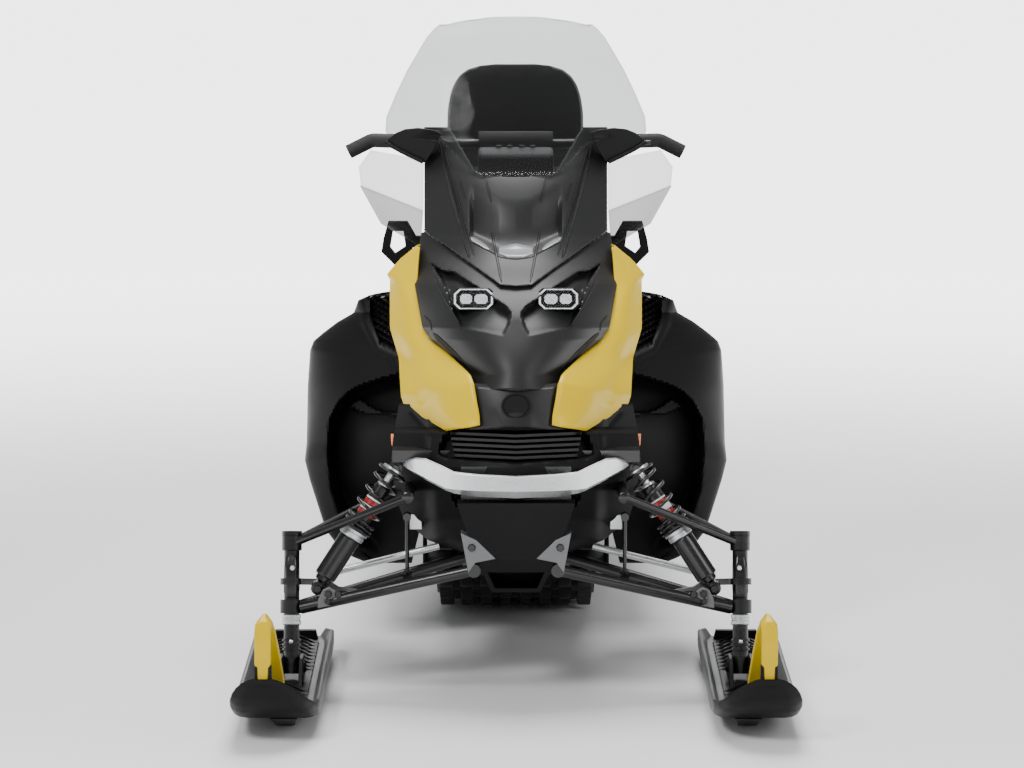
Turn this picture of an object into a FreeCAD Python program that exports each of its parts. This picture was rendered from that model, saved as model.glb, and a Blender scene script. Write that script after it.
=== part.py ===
import FreeCAD, Part
import math
import os
import re
import sys

import Sketcher

# A two-seat touring snowmobile. Front is minus Y, up is plus Z, all in millimetres.
# The ground is z = 0 and the middle of the machine's length is y = 0.

V = FreeCAD.Vector
TUNNEL_SIDE = "(track_wide / 2 + tunnel_gap + tunnel_wall)"
TUNNEL_CUT = "(tunnel_rear_y - tunnel_cut_long)"
BOARD_REAR = "(tunnel_rear_y - board_before)"
PILLION_REAR = "(tunnel_rear_y - deck_long)"
SEAT_SPLIT = f"(tank_rear_y + ({PILLION_REAR} - tank_rear_y) * seat_share)"
BACK_FRONT = f"({PILLION_REAR} + back_gap)"
HOLD_FRONT = f"({PILLION_REAR} - hold_before)"
BUMPER_FRONT = "(frame_front_y - bumper_ahead)"
GRILLE_FRONT = "(frame_front_y - grille_ahead)"
PAN_FRONT = "(frame_front_y - pan_ahead)"
ENGINE_FRONT = "(frame_front_y + engine_behind)"
SKI_LINE = "(stance_half + ski_shift)"
LOOP_LINE = "(stance_half + loop_shift)"

SIZES = {
    # Stations and overall sizes
    "kingpin_y": -1110, "stance_half": 495, "fit_gap": 0.3, "pin_fit": 0.05, "overrun": 40,
    # Track, a rubber belt with cleats that runs over the wheels of the rear suspension
    "track_wide": 381, "belt_thick": 6, "lug_high": 32, "lug_base": 20, "lug_tip": 10,
    "lug_groove": 14, "lug_count": 57, "tooth_wide": 30, "tooth_x": 62,
    "drive_y": -470, "drive_z": 362, "drive_round": 88,
    "nose_y": -60, "nose_round": 290,
    "carrier_y": 520, "carrier_z": 330, "carrier_round": 62,
    "idler_before": 215, "idler_round": 98,
    # Tunnel and its running boards
    "tunnel_gap": 16, "tunnel_wall": 3, "tunnel_top": 566, "tunnel_low": 318,
    "tunnel_front_y": -625, "tunnel_rear_y": 1500, "tunnel_drop": 130, "tunnel_cut_long": 600,
    "board_wide": 150, "board_thick": 14, "board_front_y": -300, "board_before": 320, "board_lip": 34,
    "board_hole": 22, "board_hole_pitch": 62, "board_holes": 22,
    # Bulkhead, the frame that carries engine, steering and front suspension
    "frame_half": 120, "frame_wall": 6, "frame_front_y": -1170, "frame_low": 250, "frame_high": 300,
    "frame_window": 150, "foot_half": 46, "knee_rise": 200,
    "tower_out": 272, "tower_thick": 26, "tower_long": 56,
    # Engine, kept as one closed block with two barrels
    "engine_half": 106, "engine_foot": 40, "engine_long": 290, "engine_high": 190, "engine_behind": 97,
    "barrel_round": 50, "barrel_high": 110, "barrel_apart": 106,
    # Belly pan under the bulkhead
    "pan_half": 128, "pan_wall": 5, "pan_wide_y": -880, "pan_ahead": 35, "pan_rear_y": -640,
    "pan_low": 238, "pan_high": 215,
    # Nose: bumper, grille and the small centre panel
    "bumper_half": 249, "bumper_ahead": 55, "bumper_deep": 26, "bumper_low": 484, "bumper_high": 38,
    "bumper_sweep": 84,
    "grille_half": 181, "grille_ahead": 22, "grille_deep": 30, "grille_low": 528, "grille_high": 62,
    "grille_bar": 6, "grille_bars": 5, "grille_sweep": 50, "grille_frame": 9,
    "centre_half": 92, "centre_y": -1155, "centre_low": 600, "centre_deep": 60,
    "badge_round": 30, "badge_thick": 4,
    # Hood
    "hood_half": 215, "hood_front_y": -1130, "hood_rear_y": -450, "hood_low": 712, "hood_high": 488,
    "hood_wall": 5,
    # Headlamps
    "beam_x": 96, "beam_y": -930, "beam_z": 866, "beam_wide": 90, "beam_high": 50, "beam_deep": 70,
    "beam_rim": 7, "beam_dish": 40,
    # Yellow side panels
    "panel_low": 590, "panel_high": 370, "panel_thick": 6, "panel_front_y": -1160, "panel_long": 460,
    "panel_wide": 230, "panel_in": 77,
    # Black side bodywork, round the knees and feet
    "side_out": 487, "side_front_y": -850, "side_rear_y": -330, "side_low": 223,
    "side_high": 617, "side_wall": 6,
    # Windshield, dash wings and clear deflectors
    "screen_y": -675, "screen_high": 350, "screen_half": 297, "screen_thick": 4,
    "screen_lean": 160, "screen_wrap": 80,
    "wing_wide": 86, "wing_front_y": -545, "wing_low": 1085, "wing_high": 123, "wing_deep": 56,
    "flap_in": 214, "flap_wide": 146, "flap_low": 1003, "flap_high": 150, "flap_thick": 4,
    "pod_half": 72, "pod_long": 100, "pod_high": 74, "dash_thick": 14, "dash_high": 150,
    # Steering
    "column_low_y": -700, "column_low_z": 620, "column_top_y": -300, "column_top_z": 1100,
    "column_round": 14, "bar_half": 342, "bar_y": -230, "bar_z": 1146, "bar_round": 11, "bar_bend": 34,
    "bar_back": 30, "bar_rise": 6, "grip_round": 17, "grip_long": 118, "hook_out": 56, "hook_drop": 28,
    "bar_pad_half": 88, "bar_pad_round": 30,
    "lever_long": 108, "lever_round": 5, "lever_ahead": 46, "perch_wide": 26, "perch_wall": 7,
    "post_ring_y": -480, "post_ring_long": 30, "post_ring_wall": 8, "post_leg_x": 110, "post_leg_round": 12,
    # Tank, seats, backrest and rear equipment
    "tank_half": 175, "tank_front_y": -480, "tank_rear_y": -120, "tank_high": 330,
    "seat_half": 165, "seat_share": 0.5667, "seat_high": 190,
    "pillion_half": 170, "deck_long": 420, "pillion_high": 270,
    "back_half": 190, "back_gap": 20, "back_low": 950, "back_high": 300, "back_deep": 70,
    "post_x": 110, "post_round": 12,
    "hold_x": 310, "hold_wide": 92, "hold_high": 116, "hold_before": 180, "hold_low": 720,
    "hold_bar": 24,
    "rack_half": 185, "rack_bars": 4, "rack_gap": 70, "rack_over": 60, "rack_z": 700, "rack_round": 9,
    "hoop_before": 250, "hoop_over": 90, "hoop_z": 470, "hoop_round": 13,
    "mud_low": 130, "mud_drop": 120, "mud_thick": 8,
    "tail_half": 112, "tail_high": 45, "tail_deep": 26, "tail_z": 880,
    "hitch_half": 30, "hitch_long": 96, "hitch_thick": 10, "hitch_bore": 8.5,
    # Rear suspension inside the track
    "rail_x": 128, "rail_thick": 14, "rail_high": 58, "rail_before": 15, "rail_nose_turn": 52,
    "axle_round": 10, "wheel_wide": 24, "wheel_side": 6, "bracket_long": 70,
    "arm_front_y": -215, "arm_front_z": 372, "arm_foot_y": 70, "arm_rear_y": 330, "arm_rear_z": 372,
    "arm_rear_foot_y": 700, "arm_round": 13, "arm_x": 96, "arm_foot_rise": 40,
    # Front suspension, one side
    "kingpin_low": 69, "kingpin_long": 300, "kingpin_round": 17, "kingpin_lean_deg": 12,
    "steer_arm_back": 90, "steer_arm_in": 62, "steer_arm_z": 254, "steer_arm_thick": 14,
    "steer_arm_wide": 26,
    "eye_wall": 8, "eye_high": 30, "collar_high": 10,
    "sleeve_round": 15, "ski_shift": 13, "loop_shift": 32,
    "lower_in_z": 300, "lower_out_z": 200, "lower_round": 13, "lower_spread": 90,
    "upper_in_z": 425, "upper_out_z": 338, "upper_round": 10, "upper_spread": 112, "arm_tip_spread": 18,
    "shock_low_share": 0.8, "shock_top_x": 246, "shock_top_y": -1040, "shock_top_z": 505,
    "shock_round": 19, "shock_rod": 8, "spring_round": 34, "spring_wire": 9, "spring_turns": 6,
    "shock_eye": 15, "shock_eye_wide": 24, "shock_pin": 6, "shock_pin_over": 12,
    "spring_start_share": 0.46, "spring_end_share": 0.9,
    "tie_round": 8, "tie_long": 262, "tie_rise": 66, "tie_stud": 6, "tie_eye_wall": 7,
    # Ski, one side
    "ski_tip_y": -1610, "ski_tail_y": -650, "ski_half": 92, "ski_thick": 14, "ski_lip": 30, "ski_tip_z": 118,
    "rib_start": 250, "rib_pitch": 56, "rib_thick": 6, "ski_ribs": 11,
    "keel_half": 12, "keel_high": 24, "saddle_thick": 8, "saddle_gap": 1.5,
    "saddle_high": 70, "saddle_long": 150, "ski_pin_round": 7,
    "loop_wide": 34, "loop_high": 122, "loop_long": 250,
}

doc = FreeCAD.newDocument("snowmobile")
sheet = doc.addObject("Spreadsheet::Sheet", "sizes")
for row, (name, size) in enumerate(SIZES.items(), start=1):
    sheet.set(f"A{row}", name)
    sheet.set(f"B{row}", str(size))
    sheet.setAlias(f"B{row}", name)
doc.recompute()


class Sheet:
    """Read the sheet's cells as attributes."""

    def __getattr__(self, name):
        return float(sheet.get(name))


s = Sheet()
NODES = []


def bound(text):
    """Turn an expression in plain size names into one that points at the sheet."""
    return re.sub(r"[a-z]\w*", lambda word: ("sizes." if word.group() in SIZES else "") + word.group(), text)


def keep(node, label):
    """Name a finished sub-part and list it for export."""
    node.Label = label
    NODES.append(node)
    return node


def new_body(label):
    """Start a sub-part that is made by sketches and features."""
    return keep(doc.addObject("PartDesign::Body", label), label)


def solid(label, shape):
    """Keep a shape that neither sketched features nor primitives fit."""
    node = doc.addObject("Part::Feature", label)
    node.Shape = shape
    node.Placement = FreeCAD.Placement()
    return keep(node, label)


def sketch(body, role, points, away="0"):
    """Closed straight outline on one of the body's own planes, each point bound to the sheet."""
    outline = body.newObject("Sketcher::SketchObject", body.Name + "_outline")
    plane = next(item for item in body.Origin.OriginFeatures if item.Role == role)
    outline.AttachmentSupport = (plane, [""])
    outline.MapMode = "FlatFace"
    outline.setExpression("AttachmentOffset.Base.z", bound(away))
    rough = [V(math.cos(turn), math.sin(turn), 0) * s.overrun for turn in
             (math.tau * i / len(points) for i in range(len(points)))]
    for start, end in zip(rough, rough[1:] + rough[:1]):
        outline.addGeometry(Part.LineSegment(start, end))
    count = len(points)
    for i in range(count):
        outline.addConstraint(Sketcher.Constraint("Coincident", i, 2, (i + 1) % count, 1))
    for i, point in enumerate(points):
        for kind, text in zip(("DistanceX", "DistanceY"), point):
            place = rough[i].x if kind == "DistanceX" else rough[i].y
            index = outline.addConstraint(Sketcher.Constraint(kind, -1, 1, i, 1, place))
            outline.setExpression(f"Constraints[{index}]", bound(text))
    return outline


def disc(body, role, centre, radius, away="0"):
    """Round outline on one of the body's own planes."""
    outline = body.newObject("Sketcher::SketchObject", body.Name + "_circle")
    plane = next(item for item in body.Origin.OriginFeatures if item.Role == role)
    outline.AttachmentSupport = (plane, [""])
    outline.MapMode = "FlatFace"
    outline.setExpression("AttachmentOffset.Base.z", bound(away))
    outline.addGeometry(Part.Circle(V(), V(0, 0, 1), s.overrun))
    for kind, text in (("DistanceX", centre[0]), ("DistanceY", centre[1])):
        index = outline.addConstraint(Sketcher.Constraint(kind, -1, 1, 0, 3, 0.0))
        outline.setExpression(f"Constraints[{index}]", bound(text))
    index = outline.addConstraint(Sketcher.Constraint("Radius", 0, s.overrun))
    outline.setExpression(f"Constraints[{index}]", bound(radius))
    return outline


def extrude(body, outline, length, kind="Pad", middle=False, back=False):
    """Pad or pocket an outline by a bound length."""
    feature = body.newObject(f"PartDesign::{kind}", f"{body.Name}_{kind.lower()}")
    feature.Profile = outline
    feature.Midplane = middle
    feature.Reversed = back
    feature.setExpression("Length", bound(length))
    return feature


def loft(body, outlines, kind="AdditiveLoft", ruled=True):
    """Join several outlines in a row into one solid or one cut."""
    feature = body.newObject(f"PartDesign::{kind}", f"{body.Name}_loft")
    feature.Profile = (outlines[0], [""])
    feature.Sections = [(outline, [""]) for outline in outlines[1:]]
    feature.Ruled = ruled
    return feature


def by_shares(shares, wide, high, across="0", up="0", side=1):
    """Turn an outline in shares of a width and a height into bound points."""
    return [(f"{side} * ({across} + {x} * {wide})", f"{up} + {z} * {high}") for x, z in shares]


def both_sides(half):
    """Complete an outline that is the same left and right of x = 0."""
    return half + [(f"-({across})", up) for across, up in reversed(half)]


def tube_shape(points, radius, bend):
    """Round bar along straight runs that are joined by tangent arcs."""
    edges = []
    last = points[0]
    for before, corner, after in zip(points, points[1:], points[2:]):
        back = (before - corner).normalize()
        on = (after - corner).normalize()
        half = back.getAngle(on) / 2
        reach = bend / math.tan(half)
        start = corner + back * reach
        end = corner + on * reach
        middle = corner + (back + on).normalize() * (bend / math.sin(half) - bend)
        edges += [Part.LineSegment(last, start).toShape(), Part.Arc(start, middle, end).toShape()]
        last = end
    edges.append(Part.LineSegment(last, points[-1]).toShape())
    ring = Part.Wire(Part.Circle(points[0], points[1] - points[0], radius).toShape())
    return Part.Wire(edges).makePipeShell([ring], True, False)


def rod(start, end, radius):
    """Straight round bar between two points."""
    return Part.makeCylinder(radius, (end - start).Length, start, end - start)


def fused(shapes):
    """Join shapes into one solid."""
    return shapes[0].multiFuse(shapes[1:]).removeSplitter()


# Track path: a tight loop round four circles, seen from the side

class BeltPath:
    """Convex loop of straight runs and arcs round a list of circles."""

    def __init__(self, circles):
        self.runs = []
        count = len(circles)
        for i in range(count):
            (y0, z0, r0), (y1, z1, r1) = circles[i], circles[(i + 1) % count]
            along = FreeCAD.Vector(0, y1 - y0, z1 - z0)
            length = along.Length
            along.normalize()
            slope = (r0 - r1) / length
            outward = along * slope + V(0, along.z, -along.y) * math.sqrt(1 - slope * slope)
            self.runs.append((V(0, y0, z0) + outward * r0, V(0, y1, z1) + outward * r1, outward, r1,
                              V(0, y1, z1)))

    def pieces(self, offset=0.0):
        """Straight runs and arcs of the loop, moved outward by an offset."""
        out = []
        for i, (start, end, outward, radius, centre) in enumerate(self.runs):
            following = self.runs[(i + 1) % len(self.runs)][2]
            out.append((start + outward * offset, end + outward * offset))
            middle = (outward + following).normalize()
            reach = radius + offset
            out.append((centre + outward * reach, centre + middle * reach, centre + following * reach))
        return out

    def wire(self, offset):
        """Closed wire of the loop."""
        edges = []
        for piece in self.pieces(offset):
            if len(piece) == 2:
                edges.append(Part.LineSegment(*piece).toShape())
            else:
                edges.append(Part.Arc(*piece).toShape())
        return Part.Wire(edges)

    def stations(self, count):
        """Points at an even pitch along the loop, each with its outward and forward direction."""
        wire = self.wire(0.0)
        pitch = wire.Length / count
        places = []
        walked = 0.0
        for edge in wire.OrderedEdges:
            while len(places) < count and len(places) * pitch < walked + edge.Length:
                param = edge.getParameterByLength(len(places) * pitch - walked)
                forward = edge.tangentAt(param)
                if edge.Orientation == "Reversed":
                    forward = forward * -1
                places.append((edge.valueAt(param), V(0, forward.z, -forward.y), forward))
            walked += edge.Length
        return places


def belt_path():
    """Path of the belt's middle line."""
    low = s.lug_high + s.belt_thick / 2
    return BeltPath([
        (s.nose_y, low + s.nose_round, s.nose_round),
        (idler_y(), low + s.idler_round, s.idler_round),
        (s.carrier_y, s.carrier_z, s.carrier_round),
        (s.drive_y, s.drive_z, s.drive_round),
    ])


def build_track():
    """Belt with three rows of cleats and two rows of driving teeth inside."""
    path = belt_path()
    places = path.stations(int(s.lug_count))
    half = s.belt_thick / 2

    def toothed(height):
        points = []
        for place, outward, forward in places:
            foot = place + outward * half
            points += [foot - forward * s.lug_base / 2,
                       foot - forward * s.lug_tip / 2 + outward * height,
                       foot + forward * s.lug_tip / 2 + outward * height,
                       foot + forward * s.lug_base / 2]
        return points

    def ring(outer, start, wide):
        outline = Part.Face(Part.makePolygon(outer + outer[:1])).cut(Part.Face(path.wire(-half)))
        outline.translate(V(start, 0, 0))
        return outline.extrude(V(wide, 0, 0)).Solids[0]

    row = (s.track_wide - 2 * s.lug_groove) / 3
    strips = []
    start = -s.track_wide / 2
    for index in range(3):
        strips.append(ring(toothed(s.lug_high), start + index * (row + s.lug_groove), row))
    for index in range(2):
        strips.append(ring(toothed(0.0), start + row + index * (row + s.lug_groove), s.lug_groove))
    return solid("track", fused(strips))


def build_tunnel():
    """Folded sheet over the track, cut away at the lower rear corner."""
    shoulder_share, tip_share, bore_share = 0.8, 0.5, 0.66
    body = new_body("tunnel")
    half = "(track_wide / 2 + tunnel_gap)"
    outer = [(TUNNEL_SIDE, "tunnel_low"), (TUNNEL_SIDE, "tunnel_top"),
             (f"-{TUNNEL_SIDE}", "tunnel_top"), (f"-{TUNNEL_SIDE}", "tunnel_low"),
             (f"-{half}", "tunnel_low"), (f"-{half}", "tunnel_top - tunnel_wall"),
             (half, "tunnel_top - tunnel_wall"), (half, "tunnel_low")]
    channel = sketch(body, "XZ_Plane", outer, "-tunnel_front_y")
    extrude(body, channel, "tunnel_rear_y - tunnel_front_y", back=True)
    corner = sketch(body, "YZ_Plane", [
        (TUNNEL_CUT, "tunnel_low - overrun"), ("tunnel_rear_y + overrun", "tunnel_low - overrun"),
        ("tunnel_rear_y + overrun", "tunnel_low + tunnel_drop"),
        (f"{TUNNEL_CUT} + tunnel_drop", "tunnel_low + tunnel_drop")])
    extrude(body, corner, "track_wide + 4 * overrun", "Pocket", middle=True)
    tongue = both_sides([("hitch_half", "tunnel_rear_y - hitch_long / 2"),
                         ("hitch_half", f"tunnel_rear_y + hitch_long * {shoulder_share}"),
                         (f"hitch_half * {tip_share}", "tunnel_rear_y + hitch_long")])
    extrude(body, sketch(body, "XY_Plane", tongue, "tunnel_top - hitch_thick"), "hitch_thick")
    bore = disc(body, "XY_Plane", ("0", f"tunnel_rear_y + hitch_long * {bore_share}"), "hitch_bore",
                "tunnel_top - hitch_thick")
    extrude(body, bore, "hitch_thick", "Pocket", back=True)
    return body


def build_running_board():
    """Foot rest with a raised outer lip and rows of grip holes."""
    body = new_body("running_board_left")
    profile = [(TUNNEL_SIDE, "tunnel_low"), (f"{TUNNEL_SIDE} + board_wide", "tunnel_low"),
               (f"{TUNNEL_SIDE} + board_wide", "tunnel_low + board_lip"),
               (f"{TUNNEL_SIDE} + board_wide - board_thick", "tunnel_low + board_lip"),
               (f"{TUNNEL_SIDE} + board_wide - board_thick", "tunnel_low + board_thick"),
               (TUNNEL_SIDE, "tunnel_low + board_thick")]
    outline = sketch(body, "XZ_Plane", profile, "-board_front_y")
    extrude(body, outline, f"{BOARD_REAR} - board_front_y", back=True)
    slot_shares = [(0.16, -0.5), (0.71, -0.5), (0.71, 0.5), (0.16, 0.5)]
    slot = by_shares(slot_shares, "board_wide", "board_hole", TUNNEL_SIDE,
                     "board_front_y + board_hole_pitch")
    extrude(body, sketch(body, "XY_Plane", slot, "tunnel_low - overrun"), "4 * overrun", "Pocket", back=True)
    first = body.Tip
    pattern = body.newObject("PartDesign::LinearPattern", "board_row")
    pattern.Originals = [first]
    pattern.Direction = (next(item for item in body.Origin.OriginFeatures if item.Role == "Y_Axis"), [""])
    pattern.Mode = "Spacing"
    pattern.setExpression("Offset", bound("board_hole_pitch"))
    pattern.setExpression("Occurrences", bound("board_holes"))
    body.Tip = pattern
    return body


def cut_corners(body, half, foot, low, knee, front, length):
    """Slant both lower flanks of a front body inward to its foot."""
    for side in (-1, 1):
        corner = [(foot, f"{low} - overrun"), (f"{half} + overrun", f"{low} - overrun"),
                  (f"{half} + overrun", f"{low} + {knee}"), (half, f"{low} + {knee}"), (foot, low)]
        corner = [(f"{side} * ({x})", z) for x, z in corner]
        outline = sketch(body, "XZ_Plane", corner, f"-({front}) + overrun")
        extrude(body, outline, f"{length} + overrun", "Pocket")


NOSE_RISE_SHARE = 0.27
TOE_SHARE = 0.3
CROWN_STEP_SHARE = 0.12
WINDOW_SHARES = [(-0.5, 0.2), (0.5, 0.2), (0.32, 0.62), (-0.32, 0.62)]


def build_bulkhead():
    """Open box of plates and cross walls, narrow at its foot, with the shock towers."""
    body = new_body("bulkhead")
    toe = f"(frame_front_y + frame_high * {TOE_SHARE})"
    side = [("frame_front_y", f"frame_low + frame_high * {NOSE_RISE_SHARE}"), (toe, "frame_low"),
            ("tunnel_front_y", "frame_low"), ("tunnel_front_y", "tunnel_top"),
            ("frame_front_y + frame_high", "frame_low + frame_high"), (toe, "frame_low + frame_high"),
            (f"frame_front_y + frame_high * {CROWN_STEP_SHARE}", "grille_low - fit_gap"),
            ("frame_front_y", "grille_low - fit_gap")]
    extrude(body, sketch(body, "YZ_Plane", side), "2 * frame_half", middle=True)
    hollow = both_sides([("foot_half - frame_wall", "frame_low + frame_wall"),
                         ("frame_half - frame_wall", "frame_low + knee_rise"),
                         ("frame_half - frame_wall", "frame_low + 2 * frame_high")])
    start = f"({toe} + frame_wall)"
    outline = sketch(body, "XZ_Plane", hollow, f"-{start}")
    extrude(body, outline, f"tunnel_front_y - frame_wall - {start}", "Pocket")
    window = by_shares(WINDOW_SHARES, "frame_window", "frame_high",
                       "(frame_front_y + tunnel_front_y) / 2 + frame_window", "frame_low")
    extrude(body, sketch(body, "YZ_Plane", window), "4 * frame_half", "Pocket", middle=True)
    cut_corners(body, "frame_half", "foot_half", "frame_low", "knee_rise", "frame_front_y",
                "(pan_wide_y - frame_front_y)")
    seat = "(shock_top_z + shock_eye + fit_gap)"
    for side in (-1, 1):
        tower = [("frame_half - frame_wall", f"{seat} - tower_thick"), ("tower_out - tower_thick * 2", seat),
                 ("tower_out", seat), ("tower_out", f"{seat} + tower_thick"),
                 ("frame_half - frame_wall", f"{seat} + tower_thick")]
        tower = [(f"{side} * ({x})", z) for x, z in tower]
        extrude(body, sketch(body, "XZ_Plane", tower, "-shock_top_y"), "tower_long", middle=True)
    return body


def build_engine():
    """Crankcase block that fits the narrow foot, with two barrels."""
    body = new_body("engine_block")
    low = "(frame_low + frame_wall + fit_gap)"
    case = both_sides([("engine_foot", low), ("engine_half", f"{low} + knee_rise"),
                       ("engine_half", f"{low} + engine_high + barrel_round")])
    extrude(body, sketch(body, "XZ_Plane", case, f"-{ENGINE_FRONT}"), "engine_long", back=True)
    for way in (-1, 1):
        barrel = disc(body, "XY_Plane", (f"{way} * barrel_apart / 2", f"{ENGINE_FRONT} + engine_long / 2"),
                      "barrel_round", f"{low} + engine_high")
        extrude(body, barrel, "barrel_high")
    return body


PAN_SIDE_SHARES = [(0.16, 0.0), (1.0, 0.0), (1.0, 1.0), (0.0, 1.0), (0.0, 0.42)]
APRON_SHARE = 0.6


def build_belly_pan():
    """Tub under the bulkhead, open at the top and narrow at its front foot."""
    body = new_body("belly_pan")
    tub = by_shares(PAN_SIDE_SHARES, f"(pan_rear_y - {PAN_FRONT})", "pan_high", PAN_FRONT, "pan_low")
    extrude(body, sketch(body, "YZ_Plane", tub), "2 * pan_half", middle=True)
    cut_corners(body, "pan_half", "(foot_half + pan_half - frame_half)", "pan_low",
                "(knee_rise + frame_low - pan_low)", PAN_FRONT, f"(pan_wide_y - {PAN_FRONT})")
    brim = ("frame_half + fit_gap", "pan_low + pan_high + overrun")
    narrow = both_sides([("foot_half + fit_gap", "frame_low - fit_gap"),
                         ("frame_half + fit_gap", "frame_low + knee_rise"), brim])
    outline = sketch(body, "XZ_Plane", narrow, "-frame_front_y + fit_gap")
    extrude(body, outline, "(pan_rear_y - frame_front_y + overrun)", "Pocket")
    wide = both_sides([("frame_half + fit_gap", "frame_low - fit_gap"), brim])
    outline = sketch(body, "XZ_Plane", wide, "-pan_wide_y + fit_gap")
    extrude(body, outline, "(pan_rear_y - pan_wide_y + overrun)", "Pocket")
    for side in (-1, 1):
        apron = [("pan_half", "pan_low"), (TUNNEL_SIDE, "pan_low"),
                 (TUNNEL_SIDE, f"pan_low + pan_high * {APRON_SHARE}"),
                 (f"{TUNNEL_SIDE} - pan_wall", f"pan_low + pan_high * {APRON_SHARE}"),
                 (f"{TUNNEL_SIDE} - pan_wall", "pan_low + pan_wall"), ("pan_half", "pan_low + pan_wall")]
        apron = [(f"{side} * ({x})", z) for x, z in apron]
        extrude(body, sketch(body, "XZ_Plane", apron, "-pan_wide_y"), "pan_rear_y - pan_wide_y", back=True)
    return body


BUMPER_BOW_SHARES = [(1.0, 1.0), (0.55, 0.2), (0.2, 0.0)]
STAY_SHARES = [(0.62, 0.0), (0.74, 0.0), (0.74, 1.0), (0.62, 1.0)]


def build_bumper():
    """Swept bumper bar with its two stays."""
    stay_from_share, stay_low_share, stay_high_share = 0.25, 0.2, 0.5
    bumper = new_body("front_bumper")
    bow = both_sides(by_shares(BUMPER_BOW_SHARES, "bumper_half", "bumper_sweep", "0", BUMPER_FRONT))
    inner = [(x, f"{y} + bumper_deep") for x, y in reversed(bow)]
    extrude(bumper, sketch(bumper, "XY_Plane", bow + inner, "bumper_low"), "bumper_high")
    start = f"({BUMPER_FRONT} + bumper_sweep * {stay_from_share})"
    for side in (-1, 1):
        stay = by_shares(STAY_SHARES, "frame_half", f"(frame_front_y - {start})", "0", start, side)
        outline = sketch(bumper, "XY_Plane", stay, f"bumper_low + bumper_high * {stay_low_share}")
        extrude(bumper, outline, f"bumper_high * {stay_high_share}")


def build_grille():
    """Bowed grille with level slots between its bars."""
    centre_share, slot_share = 0.3, 0.4
    grille = new_body("nose_grille")
    bow = both_sides([("grille_half", f"{GRILLE_FRONT} + grille_sweep"),
                      (f"grille_half * {centre_share}", GRILLE_FRONT)])
    inner = [(x, f"{y} + grille_deep") for x, y in reversed(bow)]
    extrude(grille, sketch(grille, "XY_Plane", bow + inner, "grille_low"), "grille_high")
    step = "((grille_high - grille_frame) / grille_bars)"
    bottom = f"(grille_sweep + grille_deep * {slot_share})"
    for index in range(int(s.grille_bars)):
        low = f"grille_low + grille_frame + {index} * {step}"
        slot = both_sides([("grille_half - grille_frame", low),
                           ("grille_half - grille_frame", f"{low} + {step} - grille_bar")])
        outline = sketch(grille, "XZ_Plane", slot, f"-{GRILLE_FRONT} - {bottom}")
        extrude(grille, outline, f"{bottom} + overrun", "Pocket", back=True)


def build_centre_panel():
    """Small nose panel with the bare round place of its badge."""
    foot_share, badge_share = 0.84, 0.55
    high = "(hood_low - centre_low - fit_gap)"
    centre = new_body("centre_panel")
    face = both_sides([(f"centre_half * {foot_share}", "centre_low"),
                       ("centre_half", f"centre_low + {high}")])
    extrude(centre, sketch(centre, "XZ_Plane", face, "-centre_y"), "centre_deep", back=True)
    badge = disc(centre, "XZ_Plane", ("0", f"centre_low + {high} * {badge_share}"), "badge_round",
                 "-centre_y")
    extrude(centre, badge, "badge_thick")


HOOD_ACROSS_SHARES = [0.0, 0.3, 0.55, 0.8, 1.0]
HOOD_UPPER_SHARE = 0.977
HOOD_LEVEL_SHARES = [
    (0.0, 0.47, (0.005, 0.02, 0.05, 0.09, 0.15, 0.34)),
    (0.07, 0.7, (0.03, 0.05, 0.1, 0.18, 0.26, 0.41)),
    (0.17, 0.94, (0.09, 0.11, 0.18, 0.28, 0.38, 0.54)),
    (0.24, 0.98, (0.14, 0.19, 0.26, 0.32, 0.43, 0.6)),
    (0.32, 1.0, (0.21, 0.29, 0.36, 0.39, 0.5, 0.69)),
    (0.375, 1.0, (0.27, 0.3, 0.42, 0.45, 0.55, 0.74)),
    (0.425, 1.0, (0.34, 0.36, 0.43, 0.52, 0.61, 0.78)),
    (0.48, 0.995, (0.41, 0.43, 0.48, 0.59, 0.66, 0.84)),
    (0.53, HOOD_UPPER_SHARE, (0.52, 0.515, 0.53, 0.62, 0.71, 0.9)),
    (0.65, HOOD_UPPER_SHARE, (0.58, 0.6, 0.65, 0.69, 0.77, 0.97)),
    (0.775, HOOD_UPPER_SHARE, (0.65, 0.66, 0.69, 0.75, 0.83, 1.0)),
    (0.835, HOOD_UPPER_SHARE, (0.76, 0.74, 0.74, 0.79, 0.86, 1.0)),
    (0.9, HOOD_UPPER_SHARE, (0.84, 0.84, 0.8, 0.85, 0.9, 1.0)),
    (1.0, HOOD_UPPER_SHARE, (0.93, 0.93, 0.92, 0.91, 0.94, 1.0)),
]


def hood_sections(body, inward):
    """Level outlines of the hood from its lower lip up to its shoulders, moved in by a share of its wall."""
    outlines = []
    last = HOOD_LEVEL_SHARES[-1][0]
    long = "(hood_rear_y - hood_front_y)"
    for level, half, along in HOOD_LEVEL_SHARES:
        wide = f"(hood_half * {half} - {inward} * hood_wall)"
        front = [(f"{across} * {wide}", f"hood_front_y + {at} * {long} + {inward} * hood_wall * 2")
                 for across, at in zip(HOOD_ACROSS_SHARES, along)]
        rear = (wide, f"hood_front_y + {along[-1]} * {long} + {max(inward, 0)} * overrun")
        points = [rear] + front[:0:-1] + [front[0]] + [(f"-({x})", y) for x, y in front[1:]]
        points.append((f"-{wide}", rear[1]))
        up = f"hood_low + {level} * hood_high"
        if level == 0.0:
            up += f" - {abs(inward)} * overrun"
        if level == last:
            up += f" - {inward} * hood_wall"
        outlines.append(sketch(body, "XY_Plane", points, up))
    return outlines


BEAM_SHARES = [(-0.5, -0.22), (-0.3, -0.5), (0.3, -0.5), (0.5, -0.22),
               (0.5, 0.22), (0.3, 0.5), (-0.3, 0.5), (-0.5, 0.22)]


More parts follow.
